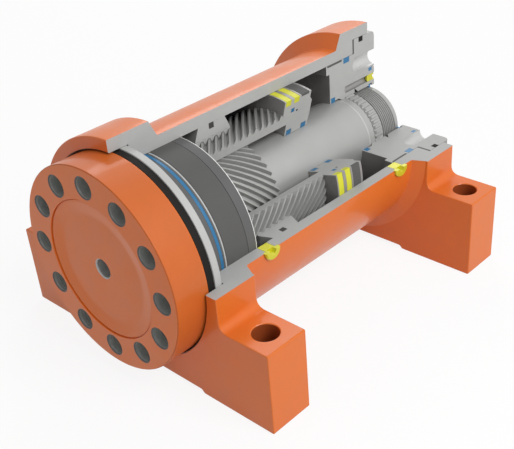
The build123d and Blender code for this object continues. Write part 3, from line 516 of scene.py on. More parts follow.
def path_normals(path):
    """The outward direction at each point of the (x, z) path: the mean of its two sides' normals, stretched
    to keep the offset."""
    run = np.diff(path, axis=0)
    run /= np.linalg.norm(run, axis=1)[:, None]
    side = np.stack([run[:, 1], -run[:, 0]], -1)
    first, last = np.vstack([side[:1], side]), np.vstack([side, side[-1:]])
    return (first + last) / (1 + np.sum(first * last, 1))[:, None]


lower_out = path_normals(lower_path)


def bracket_row(y, inset, boss_r):
    """One row round a bracket: the boss's arc, then the walls and feet, moved inwards by inset."""
    walls = lower_path - lower_out * inset
    return np.concatenate([about_axis(boss_r, upper, y), np.insert(walls, 1, y, axis=1)])


def bracket_rows(outer_y, inner_y):
    """Rows from a bracket's outer face, over its eased edges, to the foot of its inner face. Going inwards the
    boss loses radius along the cone that carries it down to the tube."""
    way = 1 if inner_y > outer_y else -1
    ease = np.linspace(0, math.pi / 2, 5)
    rows = []
    for a in ease:
        inset = CAST_EDGE * (1 - math.sin(a))
        rows.append(bracket_row(outer_y + way * CAST_EDGE * (1 - math.cos(a)), inset, BOSS_R - inset))
    rows.append(bracket_row(inner_y - way * FLANK_DROP, 0, BOSS_R))
    for a in ease[::-1]:
        y = inner_y - way * CAST_EDGE * (1 - math.cos(a))
        past = max(0.0, FLANK_DROP - abs(inner_y - y))
        rows.append(bracket_row(y, CAST_EDGE * (1 - math.sin(a)), BOSS_R - past * CONE_SLOPE))
    return rows


def between(offset_a, count_a, offset_b, count_b):
    """A flat face between two open rows: along the first and back along the second."""
    return np.concatenate([offset_a + np.arange(count_a), offset_b + np.arange(count_b)[::-1]])


# (r, y) of the rows outside the tube, with a small fillet at both cones, and of the rows inside the bore.
tube_rows = [
    (CONE_R, 81.7), (TUBE_R + 1.2, 87.9), (TUBE_R + 0.3, 88.7), (TUBE_R, 89.8),
    (TUBE_R, 346.9), (TUBE_R + 0.3, 348.0), (TUBE_R + 1.2, 348.8), (CONE_R, 355.0),
]
bore_rows = [
    (RECESS_R + MOUTH, REAR_Y), (RECESS_R, REAR_Y - MOUTH), (RECESS_R, REAR_STEP_Y),
    (BORE_R + MOUTH, REAR_STEP_Y), (BORE_R, REAR_STEP_Y - MOUTH),
    (BORE_R, FRONT_STEP_Y + MOUTH), (BORE_R + MOUTH, FRONT_STEP_Y),
    (RECESS_R, FRONT_STEP_Y), (RECESS_R, FRONT_Y + MOUTH), (RECESS_R + MOUTH, FRONT_Y),
]


def make_housing():
    """The housing as bands of rows (front bracket, tube, rear bracket, bore), joined by flat faces at the
    brackets' ends and closed at both cut planes."""
    front = np.stack(bracket_rows(FRONT_Y, FRONT_Y + BRACKET))
    rear = np.stack(bracket_rows(REAR_Y, REAR_Y - BRACKET)[::-1])
    tube, bore = (np.stack([about_axis(r, around, y) for r, y in rows]) for rows in (tube_rows, bore_rows))
    bands = [front, tube, rear, bore]
    starts = np.cumsum([0] + [band.shape[0] * band.shape[1] for band in bands])
    front_start, tube_start, rear_start, bore_start = starts[:-1]
    front_end, tube_end, rear_end, bore_end = starts[1:] - [band.shape[1] for band in bands]
    points = np.concatenate([band.reshape(-1, 3) for band in bands])
    quads = np.concatenate([grid_faces(*band.shape[:2]) + start for band, start in zip(bands, starts)])
    whole, ring, arc = front.shape[1], tube.shape[1], len(upper)
    # The front and rear faces, then the brackets' inner faces below the level of the axis.
    flat = [
        between(front_start, whole, bore_end, ring),
        between(rear_end, whole, bore_start, ring),
        between(front_end + arc, whole - arc, tube_start + arc - 1, ring - arc + 1),
        between(rear_start + arc, whole - arc, tube_end + arc - 1, ring - arc + 1),
    ]
    # The two sections run through the first and through the last point of every row.
    row_starts = [start + np.arange(len(band)) * band.shape[1] for start, band in zip(starts, bands)]
    flat.append(np.concatenate(row_starts))
    flat.append(np.concatenate([row + band.shape[1] - 1 for row, band in zip(row_starts, bands)]))
    return assemble("housing_casting", (points, quads, flat))


housing = make_housing()
CLEAR_R = FOOT_HOLE_R + 5
foot_hole = [
    (0, -200), (CLEAR_R, -200), (CLEAR_R, FOOT_BASE - 4),
    (FOOT_HOLE_R + 0.6, FOOT_BASE - 0.01), (FOOT_HOLE_R, FOOT_BASE + 0.6),
    (FOOT_HOLE_R, FOOT_TOP - 0.8), (FOOT_HOLE_R + 0.8, FOOT_TOP + 0.01),
    (CLEAR_R, FOOT_TOP + 4), (CLEAR_R, 0), (0, 0),
]
port_hole = [
    (0, 80), (PORT_DRILL_R, 80), (PORT_DRILL_R, PORT_SEAT), (PORT_R, PORT_SEAT), (PORT_R, 120), (0, 120),
]
cutters = [
    assemble("drill", bored(foot_hole, (x, y, 0), "Z", steps=72))
    for x in (-FOOT_HOLE_X, FOOT_HOLE_X)
    for y in FOOT_HOLE_Y
]
cutters += [assemble("drill", bored(port_hole, (0, y, 0), "X")) for y in PORT_Y]
carve(housing, *cutters)

centre, normal, axis_r = face_facts(housing)
x, y, z = centre.T
faces_along, faces_up = np.abs(normal[:, 1]), np.abs(normal[:, 2])
# Walls of the recesses and the bore, then the two steps between them.
recess = (axis_r < RECESS_R + 0.9) & ((y < FRONT_STEP_Y + 0.9) | (y > REAR_STEP_Y - 0.9))
inside = (faces_along < 0.9) & (recess | (axis_r < PORT_SEAT + 0.2))
inside |= (faces_along > 0.9) & ((np.abs(y - FRONT_STEP_Y) < 0.1) | (np.abs(y - REAR_STEP_Y) < 0.1))
for port_y in PORT_Y:
    inside |= (np.hypot(y - port_y, z) < PORT_R + 0.1) & (x > 0)
off_y = np.abs(y - sum(FOOT_HOLE_Y) / 2) - (FOOT_HOLE_Y[1] - FOOT_HOLE_Y[0]) / 2
in_foot_hole = np.hypot(np.abs(x) - FOOT_HOLE_X, off_y) < FOOT_HOLE_R + 0.3
# The foot holes' drilled walls, which get the darker enamel as painted shade.
drilled = in_foot_hole & (z < FOOT_TOP) & (faces_up < 0.5)
dress(
    housing, "housing", "housing_body", "orange_paint", enamel,
    (hole_shade_enamel, drilled),
    (bore_steel, inside),
    sectioned(housing, OPEN),
    sharp=24,
)


# ------------------------ output shaft
FLANGE_R, FLANGE_Y, FACE_EDGE = 105.0, 38.0, 0.8
HOLE_CIRCLE, HOLE_R, HOLE_MOUTH, SECTOR_EDGE_STEPS = 86.1, 10.5, 1.0, 8
# The flange's face is dished inside FACE_R, and a line is turned in it at the dish's edge.
FACE_R, LINE, DISH = 71.5, 0.4, 4.0
CENTRE_MOUTH = (10.6, DISH)
DRUM_R, DRUM_END, SEAL_GROOVE_R, RING_GROOVE_R = 89.65, 117.0, 84.65, 86.65
JOURNAL_R, JOURNAL_END, NECK_R, NECK_Y = 44.5, 350, 43.0, 353.5
SPLINE_ROOT_R, ROOT_LOW, ROOT_HIGH = 41.2, 362.0, 368.5
CORE_R, NOSE_R, THREAD_LOW, THREAD_HIGH = 39.6, 40.4, 379.5, 403.0
ring_angle = np.radians(360 * np.arange(ROUND_STEPS) / ROUND_STEPS - 180 / HOLES)


def flange_face():
    """The bolt face, sector by sector. In each, a loop of points on the sector's border is joined to the same
    number of points on the hole's rim, each in the direction of its border point; then the rim goes down the
    threaded wall."""
    outer, inner, half = FLANGE_R - FACE_EDGE, FACE_R + LINE, math.radians(180 / HOLES)
    corners = np.array([(outer, -half), (outer, half), (inner, half), (inner, -half)])
    counts = (ROUND_STEPS // HOLES, SECTOR_EDGE_STEPS) * 2
    sides = zip(corners, np.roll(corners, -1, 0), counts)
    polar_border = np.concatenate([np.linspace(a, b, n, endpoint=False) for a, b, n in sides])
    border = about_axis(polar_border[:, 0], polar_border[:, 1], 0.0)
    to_hole = np.array([HOLE_CIRCLE, 0, 0])
    rim_a = np.unwrap(np.arctan2(border[:, 2], border[:, 0] - HOLE_CIRCLE))
    rim = about_axis(HOLE_R + HOLE_MOUTH, rim_a, 0.0) + to_hole
    thread = (HOLE_R - 0.02, HOLE_R + 0.16, HOLE_R, 3.0, HOLE_MOUTH, 22.0)
    hole = tapped_hole(rim_a, (HOLE_R + HOLE_MOUTH, 0.0), thread, 7.0, 34.0) + to_hole
    shells = []
    for turn in 2 * math.pi * np.arange(HOLES) / HOLES:
        shells.append(skin(spun(np.stack([border, rim]), turn), columns_close=True))
        shells.append(skin(spun(hole, turn)))
    return shells


centre_thread = (9.48, 9.64, 9.5, 2.5, 5.0, 17.5)
centre_hole = skin(tapped_hole(ring_angle, CENTRE_MOUTH, centre_thread, 4.5, 26.5))
dish = [CENTRE_MOUTH, (56.0, DISH), (68.5, 1.5), (70.6, 1.5), (70.6, 2.6), (FACE_R, 2.6), (FACE_R, LINE)]
dish = eased(dish, [0, 3.0, 0.8, 0.2, 0.1, 0.1, 0], 3, closed=False)
face_outline = np.vstack([dish, [(FACE_R + LINE, 0.0)]])
# Rim of the flange, grooves of shaft seal, backup ring and bearing ring, then the drum's end and hollow.
drum_outline = eased(
    [
        (FLANGE_R - FACE_EDGE, 0), (FLANGE_R, FACE_EDGE), (FLANGE_R, FLANGE_Y), (DRUM_R, FLANGE_Y),
        (DRUM_R, 69.3), (SEAL_GROOVE_R, 69.3), (SEAL_GROOVE_R, 73.0), (DRUM_R, 73.0),
        (DRUM_R, 74.9), (RING_GROOVE_R, 74.9), (RING_GROOVE_R, 76.6), (DRUM_R, 76.6),
        (DRUM_R, 77.2), (RING_GROOVE_R, 77.2), (RING_GROOVE_R, 105.2), (DRUM_R, 105.2),
        (DRUM_R, DRUM_END), (76.0, DRUM_END), (76.0, 40.0), (0, 40.0),
    ],
    [0, 0.3, 0.8, 0.2, 0.2, 0.2, 0.2, 0.1, 0.1, 0.2, 0.2, 0.1, 0.1, 0.2, 0.2, 0.2, 1.5, 0.8, 2.0, 0],
    3,
    closed=False,
)
# Journal with its chamfer, neck, root of the splines, core of the thread, and the chamfered nose.
shaft_core = eased(
    [
        (0, 36), (JOURNAL_R, 36), (JOURNAL_R, JOURNAL_END), (NECK_R, NECK_Y), (NECK_R, ROOT_LOW),
        (SPLINE_ROOT_R, ROOT_LOW), (SPLINE_ROOT_R, ROOT_HIGH), (SPLINE_ROOT_R, THREAD_LOW),
        (CORE_R, THREAD_LOW), (CORE_R, 402.5), (NOSE_R, THREAD_HIGH), (NOSE_R, 409.3), (38.7, 411), (0, 411),
    ],
    [0, 0, 0.3, 0.3, 0.2, 0.2, 0, 0.2, 0.2, 0.1, 0.1, 0.2, 0.2, 0],
    2,
)

# Pitch radii and numbers of teeth of the two helices. Both climb at 45 degrees at their pitch radius, so they
# turn by one radian over that length, and both have a tooth every 3 pi mm round the pitch circle. PLAY is
# measured square to the flanks.
INNER_PITCH_R, INNER_TEETH, OUTER_PITCH_R, OUTER_TEETH = 57.0, 38, 72.0, 48
SHAFT_TWIST, SLEEVE_TWIST = math.degrees(1 / INNER_PITCH_R), -math.degrees(1 / OUTER_PITCH_R)
HALF_PITCH, PLAY = math.pi * 1.5, 0.4
TOOTH_W = HALF_PITCH - PLAY / math.cos(math.radians(45))
SPACE_W = 2 * HALF_PITCH - TOOTH_W
TOOTH_EASE = 0.35
TEETH_LOW, TEETH_HIGH = 38.5, 188.0
shaft_teeth = tooth_round(INNER_TEETH, INNER_PITCH_R, 54.35, 59.1, TOOTH_W, TOOTH_EASE)
thread_angle = np.radians(np.arange(0, 360, 3.75))
thread = threaded(41.5, 39.9, 39.0, 3.0, THREAD_LOW + 0.1, THREAD_HIGH, thread_angle, per_turn=8)
spline = tooth_round(44, 42.1, NOSE_R, NECK_R, width=2.6, ease=0.5)
shaft = assemble(
    "output_shaft",
    skin(carried_round(face_outline, ring_angle), rows_close=True),
    centre_hole,
    *flange_face(),
    skin(carried_round(drum_outline, ring_angle), rows_close=True),
    turned(shaft_core),
    toothed(shaft_teeth, SHAFT_TWIST, TEETH_LOW, TEETH_HIGH, 43.0, chamfer=1.2, step=2.6),
    toothed(spline, 0.0, 363.5, 378.0, 40.5, chamfer=0.6, step=5.0),
    skin(thread, rows_close=True),
)

centre, _, axis_r = face_facts(shaft)
y = centre[:, 1]
hole_walls = near_holes(centre, HOLE_CIRCLE, HOLE_R + HOLE_MOUTH - 0.02) & within(y, 0.3, 35)
on_flange = y < FLANGE_Y - 0.05
# Roots of the thread and of the splines, which get painted shade.
thread_roots = (axis_r < 40.95) & within(y, THREAD_LOW, THREAD_HIGH)
spline_roots = (axis_r < SPLINE_ROOT_R + 0.4) & within(y, ROOT_LOW + 0.1, ROOT_HIGH - 0.1)
chamfer = within(axis_r, NECK_R - 0.1, JOURNAL_R + 0.1) & within(y, JOURNAL_END - 0.1, NECK_Y + 0.1)
dish_and_face = (y < DISH + 0.01) & (axis_r > CENTRE_MOUTH[0])
dress(
    shaft, "flange_shaft", "shaft_body", "shaft_steel", shaft_steel,
    (drum_steel, (axis_r > 75.5) & within(y, FLANGE_Y - 0.1, DRUM_END + 1)),
    # The drum's rear edge: a painted highlight.
    (drum_edge_highlight, (axis_r > 88.2) & within(y, 115.4, DRUM_END + 1)),
    (root_shade_steel, thread_roots | spline_roots),
    # The journal's chamfer: a painted highlight line.
    (light_steel_and_highlight, chamfer),
    (enamel, on_flange & (axis_r > 89.9) | dish_and_face),
    # Darker enamel on the flange's rim: painted shade.
    (rim_shade_enamel, on_flange & (axis_r > FLANGE_R - 0.05)),
    # Darker enamel on the flange's edge: a painted dark edge line, painted shade.
    (edge_line_enamel, (y < FACE_EDGE + 0.05) & (axis_r > FLANGE_R - FACE_EDGE - 0.05)),
    (tapped_steel, hole_walls),
    (drum_steel, hole_walls & (y < 0.95)),
    (tooth_steel, within(y, TEETH_LOW - 0.1, TEETH_HIGH + 0.5) & within(axis_r, 52, 60)),
)


# ------------------------ rings
# The slot and the finish of each kind of ring.
RUBBER = ("black_rubber", black_rubber)
ACETAL = ("white_bearing_plastic", white_ring)
PTFE = ("dark_bearing_plastic", dark_ring)
BLUE = ("blue_seal", blue_seal)
YELLOW = ("yellow_seal", yellow_seal)
WIRE = ("dark_steel", wire_steel_and_gap_shade)
RINGS = [
    # node, (inner and outer radius, two ends), softened edge, open sector, body, kind
    ("front_wiper", (89.7, 105.0, 38.05, 45.65), 0.8, None, "shaft_body", RUBBER),
    ("front_thrust_ring", (89.7, 106.2, 45.7, 53.3), 0.9, None, "shaft_body", ACETAL),
    ("front_shaft_seal", (84.7, 89.7, 69.35, 72.95), 0.5, None, "shaft_body", BLUE),
    ("front_backup_ring", (86.7, 89.7, 74.95, 76.55), 0.3, None, "shaft_body", ACETAL),
    ("front_bearing_ring", (86.7, 89.9, 77.25, 104.7), 0.4, None, "shaft_body", PTFE),
    ("ring_gear_wire", (84.05, 89.95, 152.35, 158.95), 0.4, OPEN, "housing_body", WIRE),
    ("head_oring", (72.55, 77.45, 250.05, 254.95), 2.0, PISTON_OPEN, "piston_body", BLUE),
    ("piston_seal_front", (83.1, 89.7, 239.85, 247.95), 0.8, PISTON_OPEN, "piston_body", YELLOW),
    ("piston_seal_rear", (83.1, 89.7, 252.55, 260.65), 0.8, PISTON_OPEN, "piston_body", YELLOW),
    ("piston_wear_ring", (87.2, 89.9, 263.55, 275.55), 0.3, PISTON_OPEN, "piston_body", PTFE),
    ("rod_seal_front", (44.8, 51.0, 247.7, 255.1), 1.0, PISTON_OPEN, "piston_body", BLUE),
    ("rod_seal_rear", (44.8, 51.0, 271.0, 278.4), 1.0, PISTON_OPEN, "seal_body", BLUE),
    ("cap_wear_ring", (87.5, 89.9, 332.95, 358.05), 0.3, OPEN, "shaft_body", PTFE),
    ("cap_seal", (83.7, 89.7, 360.85, 371.25), 1.0, OPEN, "shaft_body", BLUE),
    ("cap_shaft_seal", (44.55, 50.25, 337.65, 344.55), 1.0, OPEN, "shaft_body", BLUE),
    ("cap_dust_ring", (100.4, 106.2, 388.55, 395.85), 0.6, OPEN, "shaft_body", RUBBER),
    ("rear_thrust_washer", (89.95, 106.2, 377.75, 380.05), 0.3, OPEN, "shaft_body", PTFE),
    ("nut_shaft_seal", (40.45, 44.45, 406.55, 409.5), 0.5, OPEN, "shaft_body", BLUE),
    ("nut_outer_seal", (60.35, 64.5, 406.55, 412.45), 0.8, OPEN, "shaft_body", BLUE),
]
for node, (inner, outer, low, high), soft, span, body, (slot, look) in RINGS:
    section = eased([(inner, low), (outer, low), (outer, high), (inner, high)], soft, 4)
    ring = assemble(node + "_moulded", turned(section, kept(span)))
    dress(ring, node, body, slot, look)
WIRE_CENTRE, WIRE_R = (72.5, 259.5), 1.3
wire_angle = np.radians(np.arange(0, 360, 20))
wire_section = np.stack([np.cos(wire_angle), np.sin(wire_angle)], -1) * WIRE_R + WIRE_CENTRE
lock_wire = assemble("head_lock_wire_drawn", turned(wire_section, kept(PISTON_OPEN)))
dress(lock_wire, "head_lock_wire", "piston_body", *WIRE)


# ------------------------ ring gear
GEAR_LOW, GEAR_HIGH, GEAR_R, COLLAR_R = 132.7, 180.0, 76.0, 89.95
# Conical ends, and the groove of the square wire between them.
collar_section = eased(
    [
        (GEAR_R, GEAR_LOW), (77.2, GEAR_LOW), (COLLAR_R, 138.3),
        (COLLAR_R, 152.3), (84.0, 152.3), (84.0, 159.0), (COLLAR_R, 159.0),
        (COLLAR_R, 174.4), (77.2, GEAR_HIGH), (GEAR_R, GEAR_HIGH),
    ],
    [0, 0.3, 0.4, 0.2, 0.3, 0.3, 0.2, 0.4, 0.3, 0],
    2,
)
gear_space = tooth_round(OUTER_TEETH, OUTER_PITCH_R, 69.9, 74.65, SPACE_W, TOOTH_EASE)
gear_teeth = assemble("ring_gear_cut", toothed(gear_space, SLEEVE_TWIST, GEAR_LOW, GEAR_HIGH, GEAR_R))
collar = assemble("ring_gear_collar", turned(collar_section))
for part in (gear_teeth, collar):
    carve(part, wedge(OPEN))
ring_gear = join("ring_gear_hobbed", collar, gear_teeth)
dress(ring_gear, "ring_gear", "housing_body", "machined_steel", tooth_steel, sectioned(ring_gear, OPEN))


# ------------------------ piston
# The sleeve's teeth, inner and outer, meet at MID_R. Behind the inner teeth the sleeve is bored plain.
SLEEVE_LOW, INNER_END, OUTER_END, BOSS_LOW = 92.0, 139.0, 238.0, 245.0
MID_R, PLAIN_R, SEAT_R, REAR_END = 66.5, 59.65, 72.5, 282.5
ROD_R, ROD_GROOVE_R = 45.1, 51.3
outer_teeth = tooth_round(OUTER_TEETH, OUTER_PITCH_R, 69.35, 74.1, TOOTH_W, TOOTH_EASE)
inner_space = tooth_round(INNER_TEETH, INNER_PITCH_R, 54.9, PLAIN_R, SPACE_W, TOOTH_EASE)
sleeve_outer = assemble("sleeve_outer", toothed(outer_teeth, SLEEVE_TWIST, SLEEVE_LOW, OUTER_END, MID_R, 1.0))
sleeve_inner = assemble("sleeve_inner", toothed(inner_space, SHAFT_TWIST, SLEEVE_LOW, INNER_END, MID_R))
bore_section = [(PLAIN_R, INNER_END), (MID_R, INNER_END), (MID_R, BOSS_LOW), (PLAIN_R, BOSS_LOW)]
sleeve_bore = assemble("sleeve_bore", turned(bore_section, kept(PISTON_OPEN)))
for part in (sleeve_outer, sleeve_inner):
    carve(part, wedge(PISTON_OPEN))
# The boss: the head's seat with the lock wire's groove, then the two rod seals' grooves from the rear.
boss_section = eased(
    [
        (MID_R, OUTER_END), (SEAT_R, OUTER_END), (SEAT_R, 258.1), (71.2, 258.6), (71.2, 260.4),
        (SEAT_R, 260.9), (SEAT_R, REAR_END), (PLAIN_R, REAR_END), (ROD_R, 280.65),
        (ROD_R, 278.7), (ROD_GROOVE_R, 278.7), (ROD_GROOVE_R, 270.7), (ROD_R, 270.7),
        (ROD_R, 255.4), (ROD_GROOVE_R, 255.4), (ROD_GROOVE_R, 247.4), (ROD_R, 247.4),
        (ROD_R, 245.4), (PLAIN_R, 245.4), (PLAIN_R, BOSS_LOW), (MID_R, BOSS_LOW),
    ],
    [0, 0.2, 0.2, 0.3, 0.3, 0.2, 0.6, 0.5, 0.4, 0.2, 0.3, 0.3, 0.2, 0.2, 0.3, 0.3, 0.2, 0.3, 0, 0, 0],
    2,
)
sleeve_boss = assemble("sleeve_boss", turned(boss_section, kept(PISTON_OPEN)))
sleeve = join("piston_sleeve_hobbed", sleeve_outer, sleeve_inner, sleeve_bore, sleeve_boss)
dress(sleeve, "piston_sleeve", "piston_body", "machined_steel", tooth_steel, sectioned(sleeve, PISTON_OPEN))

# Grooves of the two yellow seals and the wear ring outside, of the lock wire and the O-ring inside.
HEAD_R, HEAD_BORE_R, HEAD_GROOVE_R = 89.65, 72.55, 83.05
head_section = eased(
    [
        (HEAD_BORE_R, 238.05), (HEAD_R, 238.05),
        (HEAD_R, 239.8), (HEAD_GROOVE_R, 239.8), (HEAD_GROOVE_R, 248.0), (HEAD_R, 248.0),
        (HEAD_R, 252.5), (HEAD_GROOVE_R, 252.5), (HEAD_GROOVE_R, 260.7), (HEAD_R, 260.7),
        (HEAD_R, 263.5), (87.15, 263.5), (87.15, 275.6), (HEAD_R, 275.6),
        (HEAD_R, 278.8), (81.35, 278.8), (76.65, REAR_END), (HEAD_BORE_R, REAR_END),
        (HEAD_BORE_R, 260.9), (73.8, 260.4), (73.8, 258.6), (HEAD_BORE_R, 258.1),
        (HEAD_BORE_R, 255.0), (77.5, 255.0), (77.5, 250.0), (HEAD_BORE_R, 250.0),
    ],
    0.25,
    2,
)
head = assemble("piston_head_turned", turned(head_section, kept(PISTON_OPEN)))
dress(head, "piston_head", "piston_body", "machined_steel", bore_steel, sectioned(head, PISTON_OPEN))


# ------------------------ end cap and lock nut
CAP_R, CAP_FLANGE_R, CAP_BORE_R, CAP_GAP_R = 89.65, 106.15, 44.55, 45.9
CAP_END, NUT_SEAT_Y, NUT_SEAT_R, NECK_BORE_R = 416.9, 380.1, 64.55, 43.05
CAP_HOLE_CIRCLE, CAP_HOLE_R = 75.6, 8.9
SCREW_CIRCLE, SCREW_HOLE_R = 52.2, 4.0
SCREW_ANGLES = np.radians([90, 210, 330])


def drill(outline, circle_r, angle, steps):
    """A cutter along Y on a circle round the shaft's axis, at an angle in radians."""
    x, z = polar(circle_r, angle)
    return assemble("drill", bored(outline, (x, 0, z), steps=steps))


# Outside: the lip, the grooves of the wear ring and the seal, the flange, the dust ring's groove. Inside, from
# the rear: the nut's seat, the neck, the wide gap behind the shaft seal, and the seal's groove.
cap_section = eased(
    [
        (CAP_BORE_R, 336.0), (79.15, 336.0), (79.15, 330.8), (CAP_R, 330.8),
        (CAP_R, 332.9), (87.45, 332.9), (87.45, 358.1), (CAP_R, 358.1),
        (CAP_R, 360.8), (83.65, 360.8), (83.65, 371.3), (CAP_R, 371.3),
        (CAP_R, NUT_SEAT_Y), (CAP_FLANGE_R, NUT_SEAT_Y),
        (CAP_FLANGE_R, 388.5), (100.35, 388.5), (100.35, 395.9), (CAP_FLANGE_R, 395.9),
        (CAP_FLANGE_R, CAP_END), (NUT_SEAT_R, CAP_END), (NUT_SEAT_R, NUT_SEAT_Y),
        (NECK_BORE_R, NUT_SEAT_Y), (NECK_BORE_R, 356.2),
        (CAP_GAP_R, 351.2), (CAP_GAP_R, 347.0), (CAP_GAP_R, 344.6),
        (50.3, 344.6), (50.3, 337.6), (CAP_BORE_R, 337.6),
    ],
    [
        0.3, 0.8, 0.5, 0.5, *[0.2] * 5, 0.3, 0.3, 0.2, 0.3, 0.5, 0.2, 0.3, 0.3, 0.2,
        6.0, 0.8, 1.0, *[0.2] * 8,
    ],
    3,
)
screw_seat = [(0, 361.5), (SCREW_HOLE_R, 363.6), (SCREW_HOLE_R, 390), (0, 390)]
cap_hole = [
    (0, 377.0), (CAP_HOLE_R, NUT_SEAT_Y), (CAP_HOLE_R, 416.2), (CAP_HOLE_R + 0.9, 417.1),
    (CAP_HOLE_R + 0.9, 430), (0, 430),
]
cap = assemble("end_cap_turned", turned(cap_section, kept(OPEN)))
drills = [drill(screw_seat, SCREW_CIRCLE, a, PIN_STEPS) for a in SCREW_ANGLES]
drills += [drill(cap_hole, CAP_HOLE_CIRCLE, a, DRILL_STEPS) for a in np.radians(30 * np.arange(HOLES))]
carve(cap, *drills)
centre, _, axis_r = face_facts(cap)
y = centre[:, 1]
dress(
    cap, "end_cap", "shaft_body", "machined_steel", bore_steel,
    # The gap in the cap's bore behind the shaft seal: painted shade.
    (wire_steel_and_gap_shade, (axis_r < CAP_GAP_R + 0.2) & within(y, 344.6, 357)),
    (light_steel_and_highlight, near_holes(centre, CAP_HOLE_CIRCLE, CAP_HOLE_R + 1) & within(y, 381, CAP_END - 0.1)),
    sectioned(cap, OPEN),
)

# A cone in front, and the grooves of the outer and the inner seal at the rear.
NUT_BORE_R, NUT_R, NUT_SEAL_Y, NUT_SEAL_END = 42.6, 64.5, 406.5, 412.5
nut_section = eased(
    [
        (NUT_BORE_R, 386.0), (48.5, 380.15), (NUT_R, 380.15),
        (NUT_R, NUT_SEAL_Y), (60.3, NUT_SEAL_Y), (60.3, NUT_SEAL_END), (NUT_R, NUT_SEAL_END),
        (NUT_R, 415.4), (63.0, CAP_END), (41.55, CAP_END),
        (41.55, NUT_SEAL_END), (44.5, NUT_SEAL_END), (44.5, NUT_SEAL_Y), (NUT_BORE_R, NUT_SEAL_Y),
    ],
    [0, 0.2, 0.4, 0.2, 0.2, 0.2, 0.2, 0.2, 0.2, 0.4, 0.2, 0.2, 0.2, 0],
    2,
)
screw_hole = [
    (0, 370), (SCREW_HOLE_R, 370), (SCREW_HOLE_R, 416.2), (SCREW_HOLE_R + 0.8, 417.0),
    (SCREW_HOLE_R + 0.8, 425), (0, 425),
]
nut = assemble("lock_nut_turned", turned(nut_section, kept(OPEN)))
carve(nut, *[drill(screw_hole, SCREW_CIRCLE, a, PIN_STEPS) for a in SCREW_ANGLES])
dress(nut, "lock_nut", "shaft_body", "machined_steel", bore_steel, sectioned(nut, OPEN))


# ------------------------ plugs and set screws
PLUG_SEAT, PLUG_END, PLUG_HEAD_R, PLUG_SOCKET = 101.05, 90.3, 10.0, 7.0
SCREW_LOW, SCREW_R, SCREW_SOCKET = 403.2, 3.95, 4.0


def hexagon(across):
    """The six corners of a socket, by its width across flats."""
    a = np.radians(60 * np.arange(6))
    return across / math.sqrt(3) * np.stack([np.cos(a), np.sin(a)], -1)


# A plug's outline from its inner end: the thread as a zigzag 1.4 long and 0.5 deep, then the chamfered head.
stem_y = np.arange(PLUG_END, PLUG_SEAT, 0.35)
stem_r = 6.0 + 0.5 * np.abs(((stem_y / 1.4) % 1) * 2 - 1)
plug_head = [
    (PLUG_HEAD_R, PLUG_SEAT), (PLUG_HEAD_R, PLUG_SEAT + 3.4), (PLUG_HEAD_R - 1.1, PLUG_SEAT + 4.5),
    (0, PLUG_SEAT + 4.5),
]
plug_outline = np.vstack([[(0, PLUG_END)], np.stack([stem_r, stem_y], -1), plug_head])
for node, port_y in zip(("front_port_plug", "rear_port_plug"), PORT_Y):
    plug = assemble(node + "_turned", bored(plug_outline, (0, port_y, 0), "X", (180, 360), 96))
    key = hexagon(PLUG_SOCKET) + np.array([port_y, 0])
    rows = np.stack([np.insert(key, 0, x, axis=1) for x in (PLUG_SEAT - 1, PLUG_SEAT + 9)])
    carve(plug, assemble("socket", skin(rows, columns_close=True, ends=True)))
    dress(plug, node, "housing_body", "yellow_plug", yellow_plug)

# The first screw lies in the cut plane, so that half of it is there.
screw_outline = [(0, SCREW_LOW), (2.4, SCREW_LOW), (SCREW_R, 404.6), (SCREW_R, 415.2), (3.4, 415.8), (0, 415.8)]
screws = []
for angle, span in zip(SCREW_ANGLES, ((90, 270), None, None)):
    x, z = polar(SCREW_CIRCLE, angle)
    screw = assemble("set_screw", bored(screw_outline, (x, 0, z), span=span, steps=40))
    carve(screw, assemble("socket", prism(hexagon(SCREW_SOCKET) + np.array([x, z]), 411.8, 420)))
    screws.append(screw)
set_screws = join("nut_set_screws_turned", *screws)
dress(set_screws, "nut_set_screws", "shaft_body", "yellow_plug", yellow_plug)


# ------------------------ floor, light and camera
FLOOR_M, FLOOR_GAP = 9.0, 0.15
MIDDLE, SOFTBOX_M = Vector((0.0, 0.2, 0.0)), 1.0
WHITE = (1, 1, 1, 1)


def seen_directly(tree):
    """1 for rays from the camera and for reflections, 0 for the light that reaches the object."""
    seen = add(tree, "ShaderNodeLightPath").outputs
    rays = {0: seen["Is Camera Ray"], 1: seen["Is Glossy Ray"]}
    return add(tree, "ShaderNodeMath", {"operation": "MAXIMUM"}, links=rays).outputs[0]


def mix_shaders(tree, factor, first, second, output):
    """Mixes two shaders into an output node."""
    shaders = {0: factor, 1: first.outputs[0], 2: second.outputs[0]}
    mixed = add(tree, "ShaderNodeMixShader", links=shaders)
    add(tree, output, links={"Surface": mixed.outputs[0]})


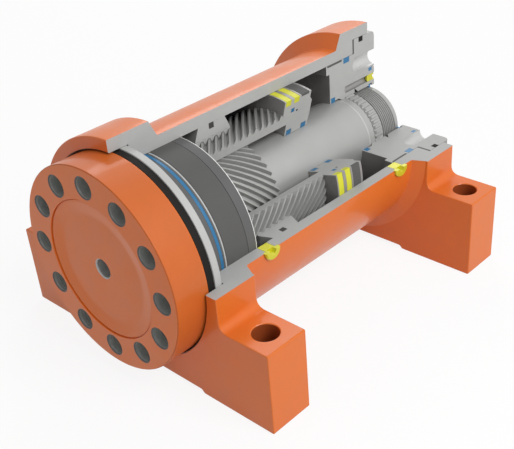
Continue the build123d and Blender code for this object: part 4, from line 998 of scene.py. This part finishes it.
def plain_background():
    """A white floor that keeps a faint shadow, and a white surround for the camera and for reflections."""
    low = (FOOT_BASE - FLOOR_GAP) * MM
    mesh = bpy.data.meshes.new("studio_floor")
    corners = [(x * FLOOR_M, y * FLOOR_M, low) for x, y in ((-1, -1), (1, -1), (1, 1), (-1, 1))]
    mesh.from_pydata(corners, [], [(0, 1, 2, 3)])
    floor = placed("studio_floor", mesh)
    # White paper under an even light, which hides most of the shadow.
    paper_floor = bpy.data.materials.new("white_paper_floor")
    tree = bare_tree(paper_floor)
    direct = seen_directly(tree)
    part = add(tree, "ShaderNodeMath", {"operation": "MULTIPLY"}, {1: 0.86}, {0: direct})
    paper = add(tree, "ShaderNodeBsdfDiffuse", values={"Color": linear("E6E6E6")})
    glow = add(tree, "ShaderNodeEmission", values={"Color": WHITE, "Strength": 1.03})
    mix_shaders(tree, part.outputs[0], paper, glow, "ShaderNodeOutputMaterial")
    mesh.materials.append(paper_floor)

    world = bpy.data.worlds.new("studio")
    bpy.context.scene.world = world
    tree = bare_tree(world)
    direct = seen_directly(tree)
    ambient = add(tree, "ShaderNodeBackground", values={"Color": WHITE, "Strength": 0.42})
    surround = add(tree, "ShaderNodeBackground", values={"Color": WHITE, "Strength": 1.0})
    mix_shaders(tree, direct, ambient, surround, "ShaderNodeOutputWorld")


def softbox(name, place, watts):
    """A square area lamp at a place in metres, aimed at the middle of the object."""
    data = bpy.data.lights.new(name, "AREA")
    data.size, data.energy = SOFTBOX_M, watts
    lamp = placed(name, data)
    lamp.location = place
    lamp.rotation_euler = (MIDDLE - Vector(place)).to_track_quat("-Z", "Y").to_euler()


plain_background()
softbox("softbox_right", (1.41, 0.2, 1.25), 21.5)
softbox("softbox_behind", (-1.2, 1.5, 1.2), 10.5)

# The camera stands where the photograph's did: its place in metres, the azimuth and elevation of its line of
# sight, its roll, its lens, and the shift of the picture's middle in parts of its width.
CAMERA_PLACE = (0.60453, -0.38218, 0.44888)
AZIMUTH, ELEVATION, ROLL = math.radians(43.274), math.radians(32.871), math.radians(3.545)
SENSOR_MM, LENS_MM = 36.0, 62.951
SHIFT_X, SHIFT_Y = -0.07032, 0.06472
level = np.array([math.cos(AZIMUTH), math.sin(AZIMUTH), 0.0])
sight = np.array([
    -math.sin(AZIMUTH) * math.cos(ELEVATION),
    math.cos(AZIMUTH) * math.cos(ELEVATION),
    -math.sin(ELEVATION),
])
right = math.cos(ROLL) * level + math.sin(ROLL) * np.cross(sight, level)
up = -np.cross(sight, right)
camera_data = bpy.data.cameras.new("photo_camera")
camera = placed("photo_camera", camera_data)
pose = np.eye(4)
pose[:3] = np.column_stack([right, up, -sight, CAMERA_PLACE])
camera.matrix_world = Matrix(pose.tolist())
camera_data.sensor_width, camera_data.lens = SENSOR_MM, LENS_MM
camera_data.shift_x, camera_data.shift_y = SHIFT_X, SHIFT_Y
bpy.context.scene.camera = camera
bpy.context.scene.view_settings.view_transform = "Standard"
